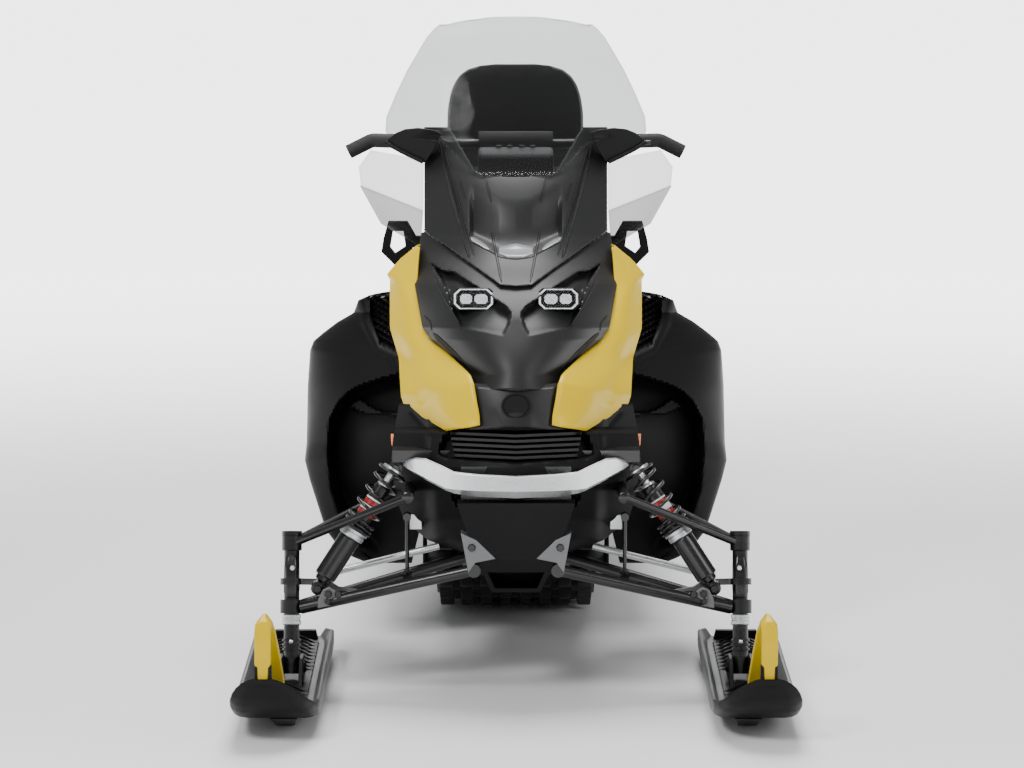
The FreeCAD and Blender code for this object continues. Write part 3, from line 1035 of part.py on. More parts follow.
def build_front_side():
    """Spindle, wishbones, shock, spring and tie rod of one side."""
    place = steer_place()
    arm_low = along_pin(s.steer_arm_z) - s.steer_arm_thick / 2
    stud_at = V(-s.steer_arm_in, s.steer_arm_back, 0)
    foot_low = s.ski_pin_round * 2
    post = Part.makeCylinder(s.kingpin_round, s.kingpin_long + foot_low, V(0, 0, -foot_low))
    clamp = Part.makeCylinder(s.kingpin_round + s.eye_wall, s.steer_arm_thick, V(0, 0, arm_low))
    along = FreeCAD.Vector(stud_at)
    bar = Part.makeBox(along.Length, s.steer_arm_wide, s.steer_arm_thick, V(0, -s.steer_arm_wide / 2, 0))
    bar.rotate(V(), V(0, 0, 1), math.degrees(math.atan2(stud_at.y, stud_at.x)))
    bar.translate(V(0, 0, arm_low))
    boss = Part.makeCylinder(s.steer_arm_wide / 2, s.steer_arm_thick, stud_at + V(0, 0, arm_low))
    stud = Part.makeCylinder(s.tie_stud, s.steer_arm_thick + s.tie_round * 2 + s.tie_stud,
                             stud_at + V(0, 0, arm_low))
    collar = Part.makeCylinder(s.kingpin_round + s.eye_wall * COLLAR_SHARE, s.collar_high,
                               V(0, 0, along_pin(s.upper_out_z) + s.eye_high / 2 + s.fit_gap))
    spindle = fused([post, clamp, bar, boss, stud, collar])
    bore = Part.makeCylinder(s.ski_pin_round + s.pin_fit, s.overrun * 2, V(-s.overrun, 0, 0), V(1, 0, 0))
    node = solid("spindle_left", spindle.cut(bore))
    node.Placement = place
    tie_z = arm_low + s.steer_arm_thick + s.tie_round + s.fit_gap
    eye = ring(tie_z - s.tie_round, tie_z + s.tie_round, s.tie_stud + s.pin_fit, s.tie_stud + s.tie_eye_wall)
    eye.translate(stud_at)
    level = place.Rotation.inverted().multVec(V(-s.tie_long, 0, s.tie_rise))
    start = stud_at + V(0, 0, tie_z) + level * ((s.tie_stud + s.tie_eye_wall / 2) / level.Length)
    node = solid("tie_rod_left", fused([eye, rod(start, stud_at + V(0, 0, tie_z) + level, s.tie_round)]))
    node.Placement = place
    pin = place.Rotation.multVec(V(0, 0, 1))
    foot = V(s.stance_half, s.kingpin_y, s.kingpin_low)
    clear = (s.sleeve_round + s.fit_gap) * math.hypot(1, flank_slant())
    outer_wall = s.kingpin_round + s.fit_gap
    arms = {}
    for label, in_z, out_z, radius, spread in (
            ("lower_arm_left", s.lower_in_z, s.lower_out_z, s.lower_round, s.lower_spread),
            ("upper_arm_left", s.upper_in_z, s.upper_out_z, s.upper_round, s.upper_spread)):
        eye = ring(along_pin(out_z) - s.eye_high / 2, along_pin(out_z) + s.eye_high / 2,
                   outer_wall, outer_wall + s.eye_wall)
        eye.Placement = place
        centre = foot + pin * along_pin(out_z)
        shapes = [eye]
        pivot_x = flank_half(in_z) + clear
        for way in (-1, 1):
            inner = V(pivot_x, centre.y + way * spread, in_z)
            outer = centre + V(-(outer_wall + s.eye_wall * EYE_GRIP_SHARE), way * s.arm_tip_spread, 0)
            shapes.append(rod(inner, outer, radius))
            half_sleeve = V(0, s.sleeve_round, 0)
            shapes.append(rod(inner - half_sleeve, inner + half_sleeve, s.sleeve_round))
        arms[label] = (shapes, centre)
    shapes, centre = arms["lower_arm_left"]
    inner = V(flank_half(s.lower_in_z) + clear, centre.y, s.lower_in_z)
    low = inner + (centre - inner) * s.shock_low_share
    reach = s.lower_spread * (1 - s.shock_low_share) + s.arm_tip_spread + s.shock_pin_over
    shapes.append(rod(low - V(0, reach, 0), low + V(0, reach, 0), s.shock_pin))
    for label, (shapes, centre) in arms.items():
        solid(label, fused(shapes))
    top = V(s.shock_top_x, s.shock_top_y, s.shock_top_z)
    axis = top - low
    length = axis.Length
    axis.normalize()
    eyes = []
    for spot, bore in ((low, s.shock_pin + s.pin_fit), (top, s.shock_pin)):
        half_eye = V(0, s.shock_eye_wide / 2, 0)
        half_bore = V(0, s.overrun, 0)
        eyes.append((rod(spot - half_eye, spot + half_eye, s.shock_eye),
                     rod(spot - half_bore, spot + half_bore, bore)))
    first = low + axis * (s.spring_start_share * length)
    last = low + axis * (s.spring_end_share * length)
    body = rod(low + axis * s.shock_eye * 2, low + axis * (length * SHOCK_BODY_SHARE), s.shock_round)
    stub = rod(low + axis * s.shock_eye * SHOCK_EYE_SHARE, low + axis * s.shock_eye * 2,
               s.shock_rod * SHOCK_STUB_SHARE)
    shaft = rod(low + axis * (length * SHOCK_SHAFT_SHARE), top - axis * s.shock_eye * SHOCK_EYE_SHARE,
                s.shock_rod)
    plates = [rod(first - axis * s.spring_wire, first, s.spring_round),
              rod(last, last + axis * s.spring_wire, s.spring_round * UPPER_PLATE_SHARE)]
    shock = fused([body, stub, shaft] + plates + [outer for outer, bore in eyes])
    for outer, bore in eyes:
        shock = shock.cut(bore)
    solid("shock_left", shock)
    gap = s.fit_gap
    run = (last - first).Length - 2 * gap
    turns = int(s.spring_turns)
    valley = s.spring_round - s.spring_wire * SPRING_VALLEY_SHARE
    outline = [V(s.shock_round + gap, 0, 0)]
    for turn in range(turns):
        outline += [V(valley, 0, run * turn / turns), V(s.spring_round, 0, run * (turn + 0.5) / turns)]
    outline += [V(valley, 0, run), V(s.shock_round + gap, 0, run)]
    spring = Part.Face(Part.makePolygon(outline + outline[:1])).revolve(V(), V(0, 0, 1), 360)
    node = solid("spring_left", spring)
    node.Placement = FreeCAD.Placement(first + axis * gap, FreeCAD.Rotation(V(0, 0, 1), axis))


def column_point(y):
    """Point on the steering column's line at a station."""
    rise = (s.column_top_z - s.column_low_z) / (s.column_top_y - s.column_low_y)
    return V(0, y, s.column_low_z + (y - s.column_low_y) * rise)


RISER_SHARE = 0.9
BAR_STRAIGHT_SHARE = 0.34
PAD_START_SHARE = 0.2
STEM_SHARE = 1.4
THUMB_SHARE = 0.4
LEG_TOP_SHARE = 0.8


def bar_path(start_x=0.0):
    """Middle line of the handlebar from an x on the straight to the hooked end, left side."""
    back = s.bar_y + s.bar_back
    return [V(start_x, s.bar_y, s.bar_z), V(s.bar_half * BAR_STRAIGHT_SHARE, s.bar_y, s.bar_z),
            V(s.bar_half, back, s.bar_z + s.bar_rise),
            V(s.bar_half + s.hook_out, back, s.bar_z + s.bar_rise - s.hook_drop)]


def build_steering():
    """Column, handlebar, grips, pad, levers and the post ring that carries the column."""
    low, top = column_point(s.column_low_y), column_point(s.column_top_y)
    column = rod(low, top, s.column_round)
    along = (top - low).normalize()
    clamp = V(0, s.bar_y, s.bar_z)
    riser = rod(top - along * s.column_round, clamp, s.column_round * RISER_SHARE)
    half = bar_path(s.bar_pad_half * PAD_START_SHARE)
    points = [V(-p.x, p.y, p.z) for p in reversed(half[1:])] + half[1:]
    bar = tube_shape(points, s.bar_round, s.bar_bend)
    solid("handlebar", fused([column, riser, bar]))
    path = bar_path()[1:]
    path[0] = path[1] + (path[0] - path[1]).normalize() * s.grip_long
    bore = tube_shape(path, s.bar_round + s.pin_fit, s.bar_bend)
    solid("grip_left", tube_shape(path, s.grip_round, s.bar_bend).cut(bore))
    reach = V(s.bar_pad_half, 0, 0)
    pad = rod(clamp - reach, clamp + reach, s.bar_pad_round)
    pad = pad.cut(rod(clamp - reach * 2, clamp + reach * 2, s.bar_round + s.fit_gap))
    pad = pad.cut(rod(top - along * s.column_round, clamp, s.column_round * RISER_SHARE + s.fit_gap))
    solid("bar_pad", pad.cut(rod(low, top, s.column_round + s.fit_gap)))
    for side, label in ((1, "brake_lever"), (-1, "throttle_block")):
        path = [V(side * p.x, p.y, p.z) for p in bar_path()[1:3]]
        inward = (path[0] - path[1]).normalize()
        at = path[1] + inward * (s.grip_long + s.perch_wide / 2 + s.fit_gap)
        half_wide = inward * (s.perch_wide / 2)
        perch = rod(at - half_wide, at + half_wide, s.bar_round + s.perch_wall)
        ahead = at - V(0, s.lever_ahead, 0)
        stem = rod(at - V(0, s.bar_round + s.pin_fit, 0), ahead, s.lever_round * STEM_SHARE)
        reach = s.lever_long if side > 0 else s.lever_long * THUMB_SHARE
        lever = rod(ahead, ahead - inward * reach, s.lever_round)
        knob = Part.makeSphere(s.lever_round * STEM_SHARE, ahead)
        shape = fused([perch, stem, knob, lever])
        solid(label, shape.cut(rod(at - half_wide * 4, at + half_wide * 4, s.bar_round + s.pin_fit)))
    centre = column_point(s.post_ring_y)
    inner = s.column_round + s.fit_gap
    outer = inner + s.post_ring_wall
    start = centre - along * (s.post_ring_long / 2)
    shapes = [rod(start, start + along * s.post_ring_long, outer)]
    for side in (-1, 1):
        foot = V(side * s.post_leg_x, s.tunnel_front_y + s.post_leg_round * 2, s.tunnel_top)
        shapes.append(rod(foot, centre + V(side * outer * LEG_TOP_SHARE, 0, 0), s.post_leg_round))
        shapes.append(Part.makeBox(s.post_leg_round * 4, s.post_leg_round * 4, s.post_leg_round / 2,
                                   foot - V(s.post_leg_round * 2, s.post_leg_round * 2, 0)))
    shape = fused(shapes).cut(rod(start - along * s.overrun * 2, start + along * s.overrun * 4, inner))
    below = Part.makeBox(s.post_leg_x * 4, s.overrun, s.overrun,
                         V(-s.post_leg_x * 2, s.tunnel_front_y, s.tunnel_top - s.overrun))
    solid("steering_post", shape.cut(below))


def mirror_copies():
    """Right-hand copy of every left-hand sub-part."""
    for node in list(NODES):
        if node.Label.endswith("_left"):
            label = node.Label.replace("_left", "_right")
            copy = doc.addObject("Part::Mirroring", label)
            copy.Source = node
            copy.Normal = V(1, 0, 0)
            keep(copy, label)


def main():
    """Build every sub-part, check it and write it."""
    build_track()
    build_tunnel()
    build_bulkhead()
    build_engine()
    build_belly_pan()
    build_bumper()
    build_grille()
    build_centre_panel()
    build_hood()
    build_windshield()
    build_dash()
    build_seating()
    build_handhold()
    build_rear()
    build_skid()
    build_running_board()
    build_headlamp()
    build_side_panel()
    build_side_body()
    build_ski()
    build_ski_loop()
    build_front_side()
    build_steering()
    doc.recompute()
    mirror_copies()
    doc.recompute()
    failed = [item.Name for item in doc.Objects if {"Invalid", "Error"} & set(item.State)]
    if failed:
        sys.exit(f"features failed: {failed}")
    os.makedirs("parts", exist_ok=True)
    for node in NODES:
        if node.Shape.isNull() or not node.Shape.isValid() or node.Shape.Volume <= 0:
            sys.exit(f"{node.Label} has no valid solid")
        node.Shape.exportStep(f"parts/{node.Label}.step")
        box = node.Shape.BoundBox
        spans = "  ".join(f"{low:8.1f} {high:8.1f}" for low, high in (
            (box.XMin, box.XMax), (box.YMin, box.YMax), (box.ZMin, box.ZMax)))
        print(f"{node.Label:22s} {node.Shape.Volume:14.0f}  {spans}")


main()
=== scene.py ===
"""Dressed model of a two-seat touring snowmobile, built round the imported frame."""

import logging
import math
from dataclasses import dataclass
from enum import Enum
from typing import Iterable, Sequence

import bmesh
import bpy
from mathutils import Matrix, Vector

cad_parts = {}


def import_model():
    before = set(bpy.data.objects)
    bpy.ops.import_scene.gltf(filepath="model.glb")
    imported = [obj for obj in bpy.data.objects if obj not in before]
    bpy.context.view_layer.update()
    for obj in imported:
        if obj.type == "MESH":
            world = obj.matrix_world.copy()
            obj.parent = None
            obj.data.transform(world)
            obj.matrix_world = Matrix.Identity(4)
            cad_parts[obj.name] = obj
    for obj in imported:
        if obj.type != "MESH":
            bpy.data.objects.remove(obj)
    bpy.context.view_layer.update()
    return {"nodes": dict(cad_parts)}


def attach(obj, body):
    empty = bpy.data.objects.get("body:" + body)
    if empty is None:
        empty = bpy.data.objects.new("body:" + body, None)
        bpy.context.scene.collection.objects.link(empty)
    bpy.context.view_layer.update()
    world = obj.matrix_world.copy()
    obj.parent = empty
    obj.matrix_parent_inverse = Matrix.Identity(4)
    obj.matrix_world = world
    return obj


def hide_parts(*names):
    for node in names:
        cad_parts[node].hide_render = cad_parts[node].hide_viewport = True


LOG = logging.getLogger("snowmobile")
MM = 0.001
CHASSIS = "chassis"
Point = tuple[float, float, float]
Spot = tuple[float, float]
Face = tuple[int, ...]
Shape = tuple[list[Point], list[Face]]
Table = tuple[tuple[float, ...], ...]
Outline = tuple[Spot, ...]


# Sight line of the picture


@dataclass(frozen=True)
class Sight:
    """Where the camera stands and how it looks, in millimetres and pixels."""

    pin_y: float = -1110
    away: float = 9000
    height: float = 2047
    tilt_deg: float = 8.508
    focal: float = 4169
    centre_x: float = 516
    middle_x: float = 512
    middle_y: float = 384
    wide: float = 1024
    sensor: float = 36

    def spot(self, px: float, py: float, behind: float) -> Point:
        """Point on the sight line of a picture position.

        Args:
            px: Picture column.
            py: Picture row.
            behind: Distance behind the steering pins.

        Returns:
            The point in the frame, in millimetres.
        """
        tilt = math.radians(self.tilt_deg)
        fall = math.tan(math.atan((py - self.middle_y) / self.focal) + tilt)
        z = self.height - fall * (behind + self.away)
        depth = (behind + self.away) * math.cos(tilt) + (self.height - z) * math.sin(tilt)
        return ((px - self.centre_x) * depth / self.focal, behind + self.pin_y, z)


SIGHT = Sight()


class Side(Enum):
    """Left and right of the machine, as its rider sees them."""

    LEFT = 1
    RIGHT = -1

    @property
    def word(self) -> str:
        """Ending of the side's node names."""
        return self.name.lower()


# Shader groups that several finishes share


def new_group(name: str, inputs: dict[str, float], outputs: Sequence[str]) -> bpy.types.NodeTree:
    """Start a shader group with named number inputs.

    Args:
        name: Name of the group.
        inputs: Input names with their default values.
        outputs: Names of the number outputs.

    Returns:
        The group with its input and output nodes in place.
    """
    tree = bpy.data.node_groups.new(name, "ShaderNodeTree")
    for label, value in inputs.items():
        socket = tree.interface.new_socket(label, in_out="INPUT", socket_type="NodeSocketFloat")
        socket.default_value = value
    for label in outputs:
        tree.interface.new_socket(label, in_out="OUTPUT", socket_type="NodeSocketFloat")
    tree.nodes.new("NodeGroupInput").name = "in"
    tree.nodes.new("NodeGroupOutput").name = "out"
    return tree


def wire(tree: bpy.types.NodeTree, start: bpy.types.NodeSocket, end: bpy.types.NodeSocket) -> None:
    """Join two sockets."""
    tree.links.new(start, end)


def moulded_grain() -> bpy.types.NodeTree:
    """Fine pebble of moulded plastic with a slow change of gloss."""
    tree = new_group("moulded_grain", {"Scale": 900, "Blotch": 6}, ("Height", "Gloss"))
    place = tree.nodes.new("ShaderNodeTexCoord")
    pebble = tree.nodes.new("ShaderNodeTexVoronoi")
    slow = tree.nodes.new("ShaderNodeTexNoise")
    slow.inputs["Detail"].default_value = 3
    wire(tree, place.outputs["Object"], pebble.inputs["Vector"])
    wire(tree, place.outputs["Object"], slow.inputs["Vector"])
    wire(tree, tree.nodes["in"].outputs["Scale"], pebble.inputs["Scale"])
    wire(tree, tree.nodes["in"].outputs["Blotch"], slow.inputs["Scale"])
    wire(tree, pebble.outputs["Distance"], tree.nodes["out"].inputs["Height"])
    wire(tree, slow.outputs["Fac"], tree.nodes["out"].inputs["Gloss"])
    return tree


def scuffs() -> bpy.types.NodeTree:
    """Sparse fine scratches and rubbed patches."""
    tree = new_group("scuffs", {"Scale": 14, "Amount": 0.5}, ("Mask",))
    place = tree.nodes.new("ShaderNodeTexCoord")
    stretch = tree.nodes.new("ShaderNodeMapping")
    stretch.inputs["Scale"].default_value = (1, 1, 9)
    lines = tree.nodes.new("ShaderNodeTexNoise")
    lines.inputs["Detail"].default_value = 8
    patch = tree.nodes.new("ShaderNodeTexNoise")
    patch.inputs["Detail"].default_value = 2
    sharp = tree.nodes.new("ShaderNodeMapRange")
    sharp.inputs["From Min"].default_value = 0.56
    sharp.inputs["From Max"].default_value = 0.7
    both = tree.nodes.new("ShaderNodeMath")
    both.operation = "MULTIPLY"
    much = tree.nodes.new("ShaderNodeMath")
    much.operation = "MULTIPLY"
    wire(tree, place.outputs["Object"], stretch.inputs["Vector"])
    wire(tree, stretch.outputs["Vector"], lines.inputs["Vector"])
    wire(tree, place.outputs["Object"], patch.inputs["Vector"])
    wire(tree, tree.nodes["in"].outputs["Scale"], lines.inputs["Scale"])
    wire(tree, lines.outputs["Fac"], sharp.inputs["Value"])
    wire(tree, sharp.outputs["Result"], both.inputs[0])
    wire(tree, patch.outputs["Fac"], both.inputs[1])
    wire(tree, both.outputs[0], much.inputs[0])
    wire(tree, tree.nodes["in"].outputs["Amount"], much.inputs[1])
    wire(tree, much.outputs[0], tree.nodes["out"].inputs["Mask"])
    return tree


def brush_lines() -> bpy.types.NodeTree:
    """Long hairlines of brushed metal along X."""
    tree = new_group("brush_lines", {"Scale": 60}, ("Height",))
    place = tree.nodes.new("ShaderNodeTexCoord")
    stretch = tree.nodes.new("ShaderNodeMapping")
    stretch.inputs["Scale"].default_value = (0.05, 8, 8)
    hair = tree.nodes.new("ShaderNodeTexNoise")
    hair.inputs["Detail"].default_value = 6
    wire(tree, place.outputs["Object"], stretch.inputs["Vector"])
    wire(tree, stretch.outputs["Vector"], hair.inputs["Vector"])
    wire(tree, tree.nodes["in"].outputs["Scale"], hair.inputs["Scale"])
    wire(tree, hair.outputs["Fac"], tree.nodes["out"].inputs["Height"])
    return tree


@dataclass(frozen=True)
class Finish:
    """A surface finish: colour, gloss, grain and wear."""

    name: str
    colour: tuple[float, float, float]
    rough: float = 0.5
    metal: float = 0
    grain: float = 900
    bump: float = 0.05
    spread: float = 0.12
    worn: tuple[float, float, float] = (0.3, 0.3, 0.3)
    wear: float = 0.25
    coat: float = 0
    shine: float = 0.5
    group: str = "moulded_grain"

    def material(self) -> bpy.types.Material:
        """Material of this finish, made once."""
        made = bpy.data.materials.get(self.name)
        if made:
            return made
        made = bpy.data.materials.new(self.name)
        made.use_nodes = True
        tree = made.node_tree
        shader = tree.nodes["Principled BSDF"]
        shader.inputs["Metallic"].default_value = self.metal
        shader.inputs["Specular IOR Level"].default_value = self.shine
        shader.inputs["Coat Weight"].default_value = self.coat
        shader.inputs["Coat Roughness"].default_value = 0.08
        grain = tree.nodes.new("ShaderNodeGroup")
        grain.node_tree = bpy.data.node_groups[self.group]
        grain.inputs["Scale"].default_value = self.grain
        marks = tree.nodes.new("ShaderNodeGroup")
        marks.node_tree = bpy.data.node_groups["scuffs"]
        marks.inputs["Amount"].default_value = self.wear
        tone = tree.nodes.new("ShaderNodeMix")
        tone.data_type = "RGBA"
        tone.inputs["A"].default_value = (*self.colour, 1)
        tone.inputs["B"].default_value = (*self.worn, 1)
        wire(tree, marks.outputs["Mask"], tone.inputs["Factor"])
        wire(tree, tone.outputs["Result"], shader.inputs["Base Color"])
        gloss = tree.nodes.new("ShaderNodeMapRange")
        gloss.inputs["To Min"].default_value = max(0.02, self.rough - self.spread)
        gloss.inputs["To Max"].default_value = min(1, self.rough + self.spread)
        slow = grain.outputs["Gloss"] if self.group == "moulded_grain" else grain.outputs["Height"]
        wire(tree, slow, gloss.inputs["Value"])
        wire(tree, gloss.outputs["Result"], shader.inputs["Roughness"])
        bump = tree.nodes.new("ShaderNodeBump")
        bump.inputs["Strength"].default_value = self.bump
        bump.inputs["Distance"].default_value = 0.0006
        wire(tree, grain.outputs["Height"], bump.inputs["Height"])
        wire(tree, bump.outputs["Normal"], shader.inputs["Normal"])
        return made


@dataclass(frozen=True)
class ClearFinish:
    """Clear or tinted sheet that light passes through."""

    name: str
    colour: tuple[float, float, float]
    haze: float = 0.03
    rough: float = 0.04

    def material(self) -> bpy.types.Material:
        """Material of this finish, made once."""
        made = bpy.data.materials.get(self.name)
        if made:
            return made
        made = bpy.data.materials.new(self.name)
        made.use_nodes = True
        tree = made.node_tree
        shader = tree.nodes["Principled BSDF"]
        shader.inputs["Base Color"].default_value = (*(0.2 * c for c in self.colour), 1)
        through = tree.nodes.new("ShaderNodeBsdfTransparent")
        through.inputs["Color"].default_value = (*self.colour, 1)
        rim = tree.nodes.new("ShaderNodeLayerWeight")
        rim.inputs["Blend"].default_value = 0.25
        share = tree.nodes.new("ShaderNodeMapRange")
        share.inputs["To Min"].default_value = self.haze
        share.inputs["To Max"].default_value = 0.4
        blend = tree.nodes.new("ShaderNodeMixShader")
        marks = tree.nodes.new("ShaderNodeGroup")
        marks.node_tree = bpy.data.node_groups["scuffs"]
        marks.inputs["Amount"].default_value = 0.3
        gloss = tree.nodes.new("ShaderNodeMapRange")
        gloss.inputs["To Min"].default_value = self.rough
        gloss.inputs["To Max"].default_value = self.rough + 0.2
        wire(tree, marks.outputs["Mask"], gloss.inputs["Value"])
        wire(tree, gloss.outputs["Result"], shader.inputs["Roughness"])
        wire(tree, rim.outputs["Facing"], share.inputs["Value"])
        wire(tree, share.outputs["Result"], blend.inputs["Fac"])
        wire(tree, through.outputs["BSDF"], blend.inputs[1])
        wire(tree, shader.outputs["BSDF"], blend.inputs[2])
        wire(tree, blend.outputs["Shader"], tree.nodes["Material Output"].inputs["Surface"])
        return made


HOOD_BLACK = Finish("hood_black", (0.0095, 0.0095, 0.0099), 0.42, bump=0.1, wear=0.06,
                    worn=(0.03, 0.03, 0.03), shine=0.27)
BODY_BLACK = Finish("body_black", (0.003, 0.003, 0.0031), 0.5, bump=0.08, wear=0.05,
                    worn=(0.012, 0.012, 0.012), shine=0.13)
DEEP_BLACK = Finish("deep_black", (0.003, 0.003, 0.003), 0.6, bump=0.2, wear=0.05, worn=(0.02, 0.02, 0.02),
                    shine=0.2)
YELLOW = Finish("panel_yellow", (0.55, 0.375, 0), 0.34, bump=0.02, wear=0.05, worn=(0.6, 0.4, 0), coat=0.08,
                spread=0.05, shine=0.15)
SILVER = Finish("silver_brushed", (0.62, 0.63, 0.64), 0.3, metal=0.85, grain=60, bump=0.12,
                group="brush_lines", worn=(0.4, 0.4, 0.4), wear=0.2)
BARE = Finish("aluminium_bare", (0.55, 0.56, 0.57), 0.38, metal=0.9, grain=300, bump=0.1, wear=0.4,
              worn=(0.35, 0.35, 0.35))
STEEL = Finish("steel_coated", (0.0035, 0.0035, 0.0037), 0.28, bump=0.08, wear=0.25, worn=(0.06, 0.06, 0.06))
CAST = Finish("cast_metal", (0.12, 0.12, 0.125), 0.55, metal=0.7, grain=500, bump=0.4)
RUBBER = Finish("rubber_dark", (0.01, 0.01, 0.01), 0.65, grain=700, bump=0.3, wear=0.3,
                worn=(0.04, 0.04, 0.04), shine=0.3)
TRACK_RUBBER = Finish("belt_rubber", (0.022, 0.022, 0.0225), 0.6, grain=400, bump=0.35, wear=0.7,
                      worn=(0.09, 0.09, 0.09), shine=0.3)
SKI_GREY = Finish("ski_grey", (0.062, 0.062, 0.064), 0.42, bump=0.12, wear=0.4, worn=(0.2, 0.2, 0.2))
LIGHT_GREY = Finish("light_grey_plate", (0.12, 0.122, 0.126), 0.45, metal=0.3, wear=0.3, worn=(0.2, 0.2, 0.2))
RED = Finish("band_red", (0.3, 0.002, 0.002), 0.35, wear=0.1, coat=0.2)
AMBER = Finish("reflector_amber", (0.95, 0.2, 0), 0.2, grain=260, bump=0.4, wear=0.05, coat=0.6)
RED_LENS = Finish("lens_red", (0.16, 0.001, 0.001), 0.15, grain=220, bump=0.5, wear=0.05, coat=0.8)
SEAT = Finish("vinyl_seat", (0.004, 0.004, 0.0042), 0.6, grain=700, bump=0.2, wear=0.15,
              worn=(0.012, 0.012, 0.012), shine=0.13)
PIPING = Finish("seat_piping", (0.1, 0.1, 0.1), 0.5, bump=0.3)
# Light glossy grey for strips on the hood's ledge: a painted highlight, the lights' reflection painted into
# colour.
HOOD_PAINTED_HIGHLIGHT = Finish("hood_strip", (0.15, 0.155, 0.17), 0.25, bump=0.02, wear=0.05, coat=0.3)
CHROME = Finish("lamp_mirror", (0.4, 0.41, 0.42), 0.25, metal=1, grain=260, bump=0.5, wear=0.1)
SKI_BLACK = Finish("ski_black", (0.003, 0.003, 0.0031), 0.45, bump=0.1, wear=0.2, worn=(0.015, 0.015, 0.015),
                   shine=0.16)
GLASS_BLACK = Finish("dial_glass", (0.004, 0.004, 0.005), 0.08, bump=0.01, wear=0.02, coat=0.6)
WHITE = Finish("band_white", (0.6, 0.6, 0.6), 0.4, wear=0.1)
CLEAR = ClearFinish("clear_screen", (0.63, 0.635, 0.64), 0.02)
PANE = ClearFinish("clear_pane", (0.76, 0.755, 0.75), 0.02)
# Darker copy of the deflector's clear plastic for the lower facet that folds back: painted shade.
PANE_PAINTED_SHADE = ClearFinish("clear_pane_low", (0.52, 0.52, 0.52), 0.03)
LENS = ClearFinish("clear_lens", (0.96, 0.965, 0.97), 0.04, 0.02)


# Mesh helpers


def finish_mesh(piece: bpy.types.Object, angle: float) -> None:
    """Merge doubles, turn faces outwards and shade smooth but for sharp edges.

    Args:
        piece: Object with the mesh.
        angle: Degrees past which an edge stays sharp.
    """
    work = bmesh.new()
    work.from_mesh(piece.data)
    bmesh.ops.remove_doubles(work, verts=work.verts, dist=0.00002)
    bmesh.ops.recalc_face_normals(work, faces=work.faces)
    for face in work.faces:
        face.smooth = True
    work.to_mesh(piece.data)
    work.free()
    piece.data.set_sharp_from_angle(angle=math.radians(angle))


def new_piece(name: str, points: Sequence[Point], faces: Sequence[Face],
              finish: "Finish | ClearFinish | FloorFinish", angle: float = 35) -> bpy.types.Object:
    """Make an object from points in millimetres.

    Args:
        name: Name of the piece.
        points: Corners in the frame, in millimetres.
        faces: Corner numbers of each face.
        finish: Its finish.
        angle: Degrees past which an edge stays sharp.

    Returns:
        The object, at the origin.
    """
    mesh = bpy.data.meshes.new(name)
    mesh.from_pydata([tuple(v * MM for v in p) for p in points], [], [list(f) for f in faces])
    piece = bpy.data.objects.new(name, mesh)
    bpy.context.scene.collection.objects.link(piece)
    mesh.materials.append(finish.material())
    finish_mesh(piece, angle)
    return piece


def thicken(piece: bpy.types.Object, thick: float, offset: float = -1) -> None:
    """Give a sheet its thickness.

    Args:
        piece: The sheet.
        thick: Thickness in millimetres.
        offset: Which side the thickness goes to, from -1 to 1.
    """
    wall = piece.modifiers.new("wall", "SOLIDIFY")
    wall.thickness = thick * MM
    wall.offset = offset
    wall.use_even_offset = False


def soften(piece: bpy.types.Object, width: float, steps: int = 2, angle: float = 40) -> None:
    """Round the edges of a piece.

    Args:
        piece: The piece.
        width: Width of the rounding in millimetres.
        steps: Segments of each rounding.
        angle: Degrees past which an edge is rounded.
    """
    bevel = piece.modifiers.new("edges", "BEVEL")
    bevel.width = width * MM
    bevel.segments = steps
    bevel.limit_method = "ANGLE"
    bevel.angle_limit = math.radians(angle)
    bevel.harden_normals = False


def settle(piece: bpy.types.Object, body: str, slot: str, *nodes: str) -> bpy.types.Object:
    """Put a piece on its body and hide the nodes that it stands for.

    Args:
        piece: The piece.
        body: Body that it rides on.
        slot: The record's material slot; not used.
        nodes: Nodes that it replaces.

    Returns:
        The piece.
    """
    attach(piece, body)
    if nodes:
        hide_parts(*nodes)
    LOG.info("%s rides on %s", piece.name, body)
    return piece


def set_piece(name: str, shape: Shape, finish: "Finish | ClearFinish", slot: str, *nodes: str,
              body: str = CHASSIS, angle: float = 35, wall: float = 0,
              edge: Sequence[float] = ()) -> bpy.types.Object:
    """Make a piece, give it its wall and rounded edges, and put it on its body.

    Args:
        name: Name of the piece.
        shape: Its points and faces.
        finish: Its finish.
        slot: The record's material slot.
        nodes: Nodes that it replaces.
        body: Body that it rides on.
        angle: Degrees past which an edge stays sharp.
        wall: Thickness in millimetres, where the shape is a sheet.
        edge: Width, steps and angle of its rounding, as soften takes them.

    Returns:
        The piece.
    """
    piece = new_piece(name, *shape, finish, angle)
    if wall:
        thicken(piece, wall)
    if edge:
        soften(piece, *edge)
    return settle(piece, body, slot, *nodes)


def grid_faces(rows: int, columns: int, ring: bool = False) -> list[Face]:
    """Faces of a net of rows and columns.

    Args:
        rows: Number of rows of points.
        columns: Points in a row.
        ring: True where each row closes on itself.

    Returns:
        The faces.
    """
    last = columns if ring else columns - 1
    return [(r * columns + c, r * columns + (c + 1) % columns, (r + 1) * columns + (c + 1) % columns,
             (r + 1) * columns + c) for r in range(rows - 1) for c in range(last)]


def flip(points: Iterable[Point], side: Side) -> list[Point]:
    """Points of the left side, or their mirror image for the right one."""
    return [(p[0] * side.value, p[1], p[2]) for p in points]


def mirror(shape: Shape, side: Side) -> Shape:
    """Shape of the left side, or its mirror image for the right one."""
    return flip(shape[0], side), shape[1]


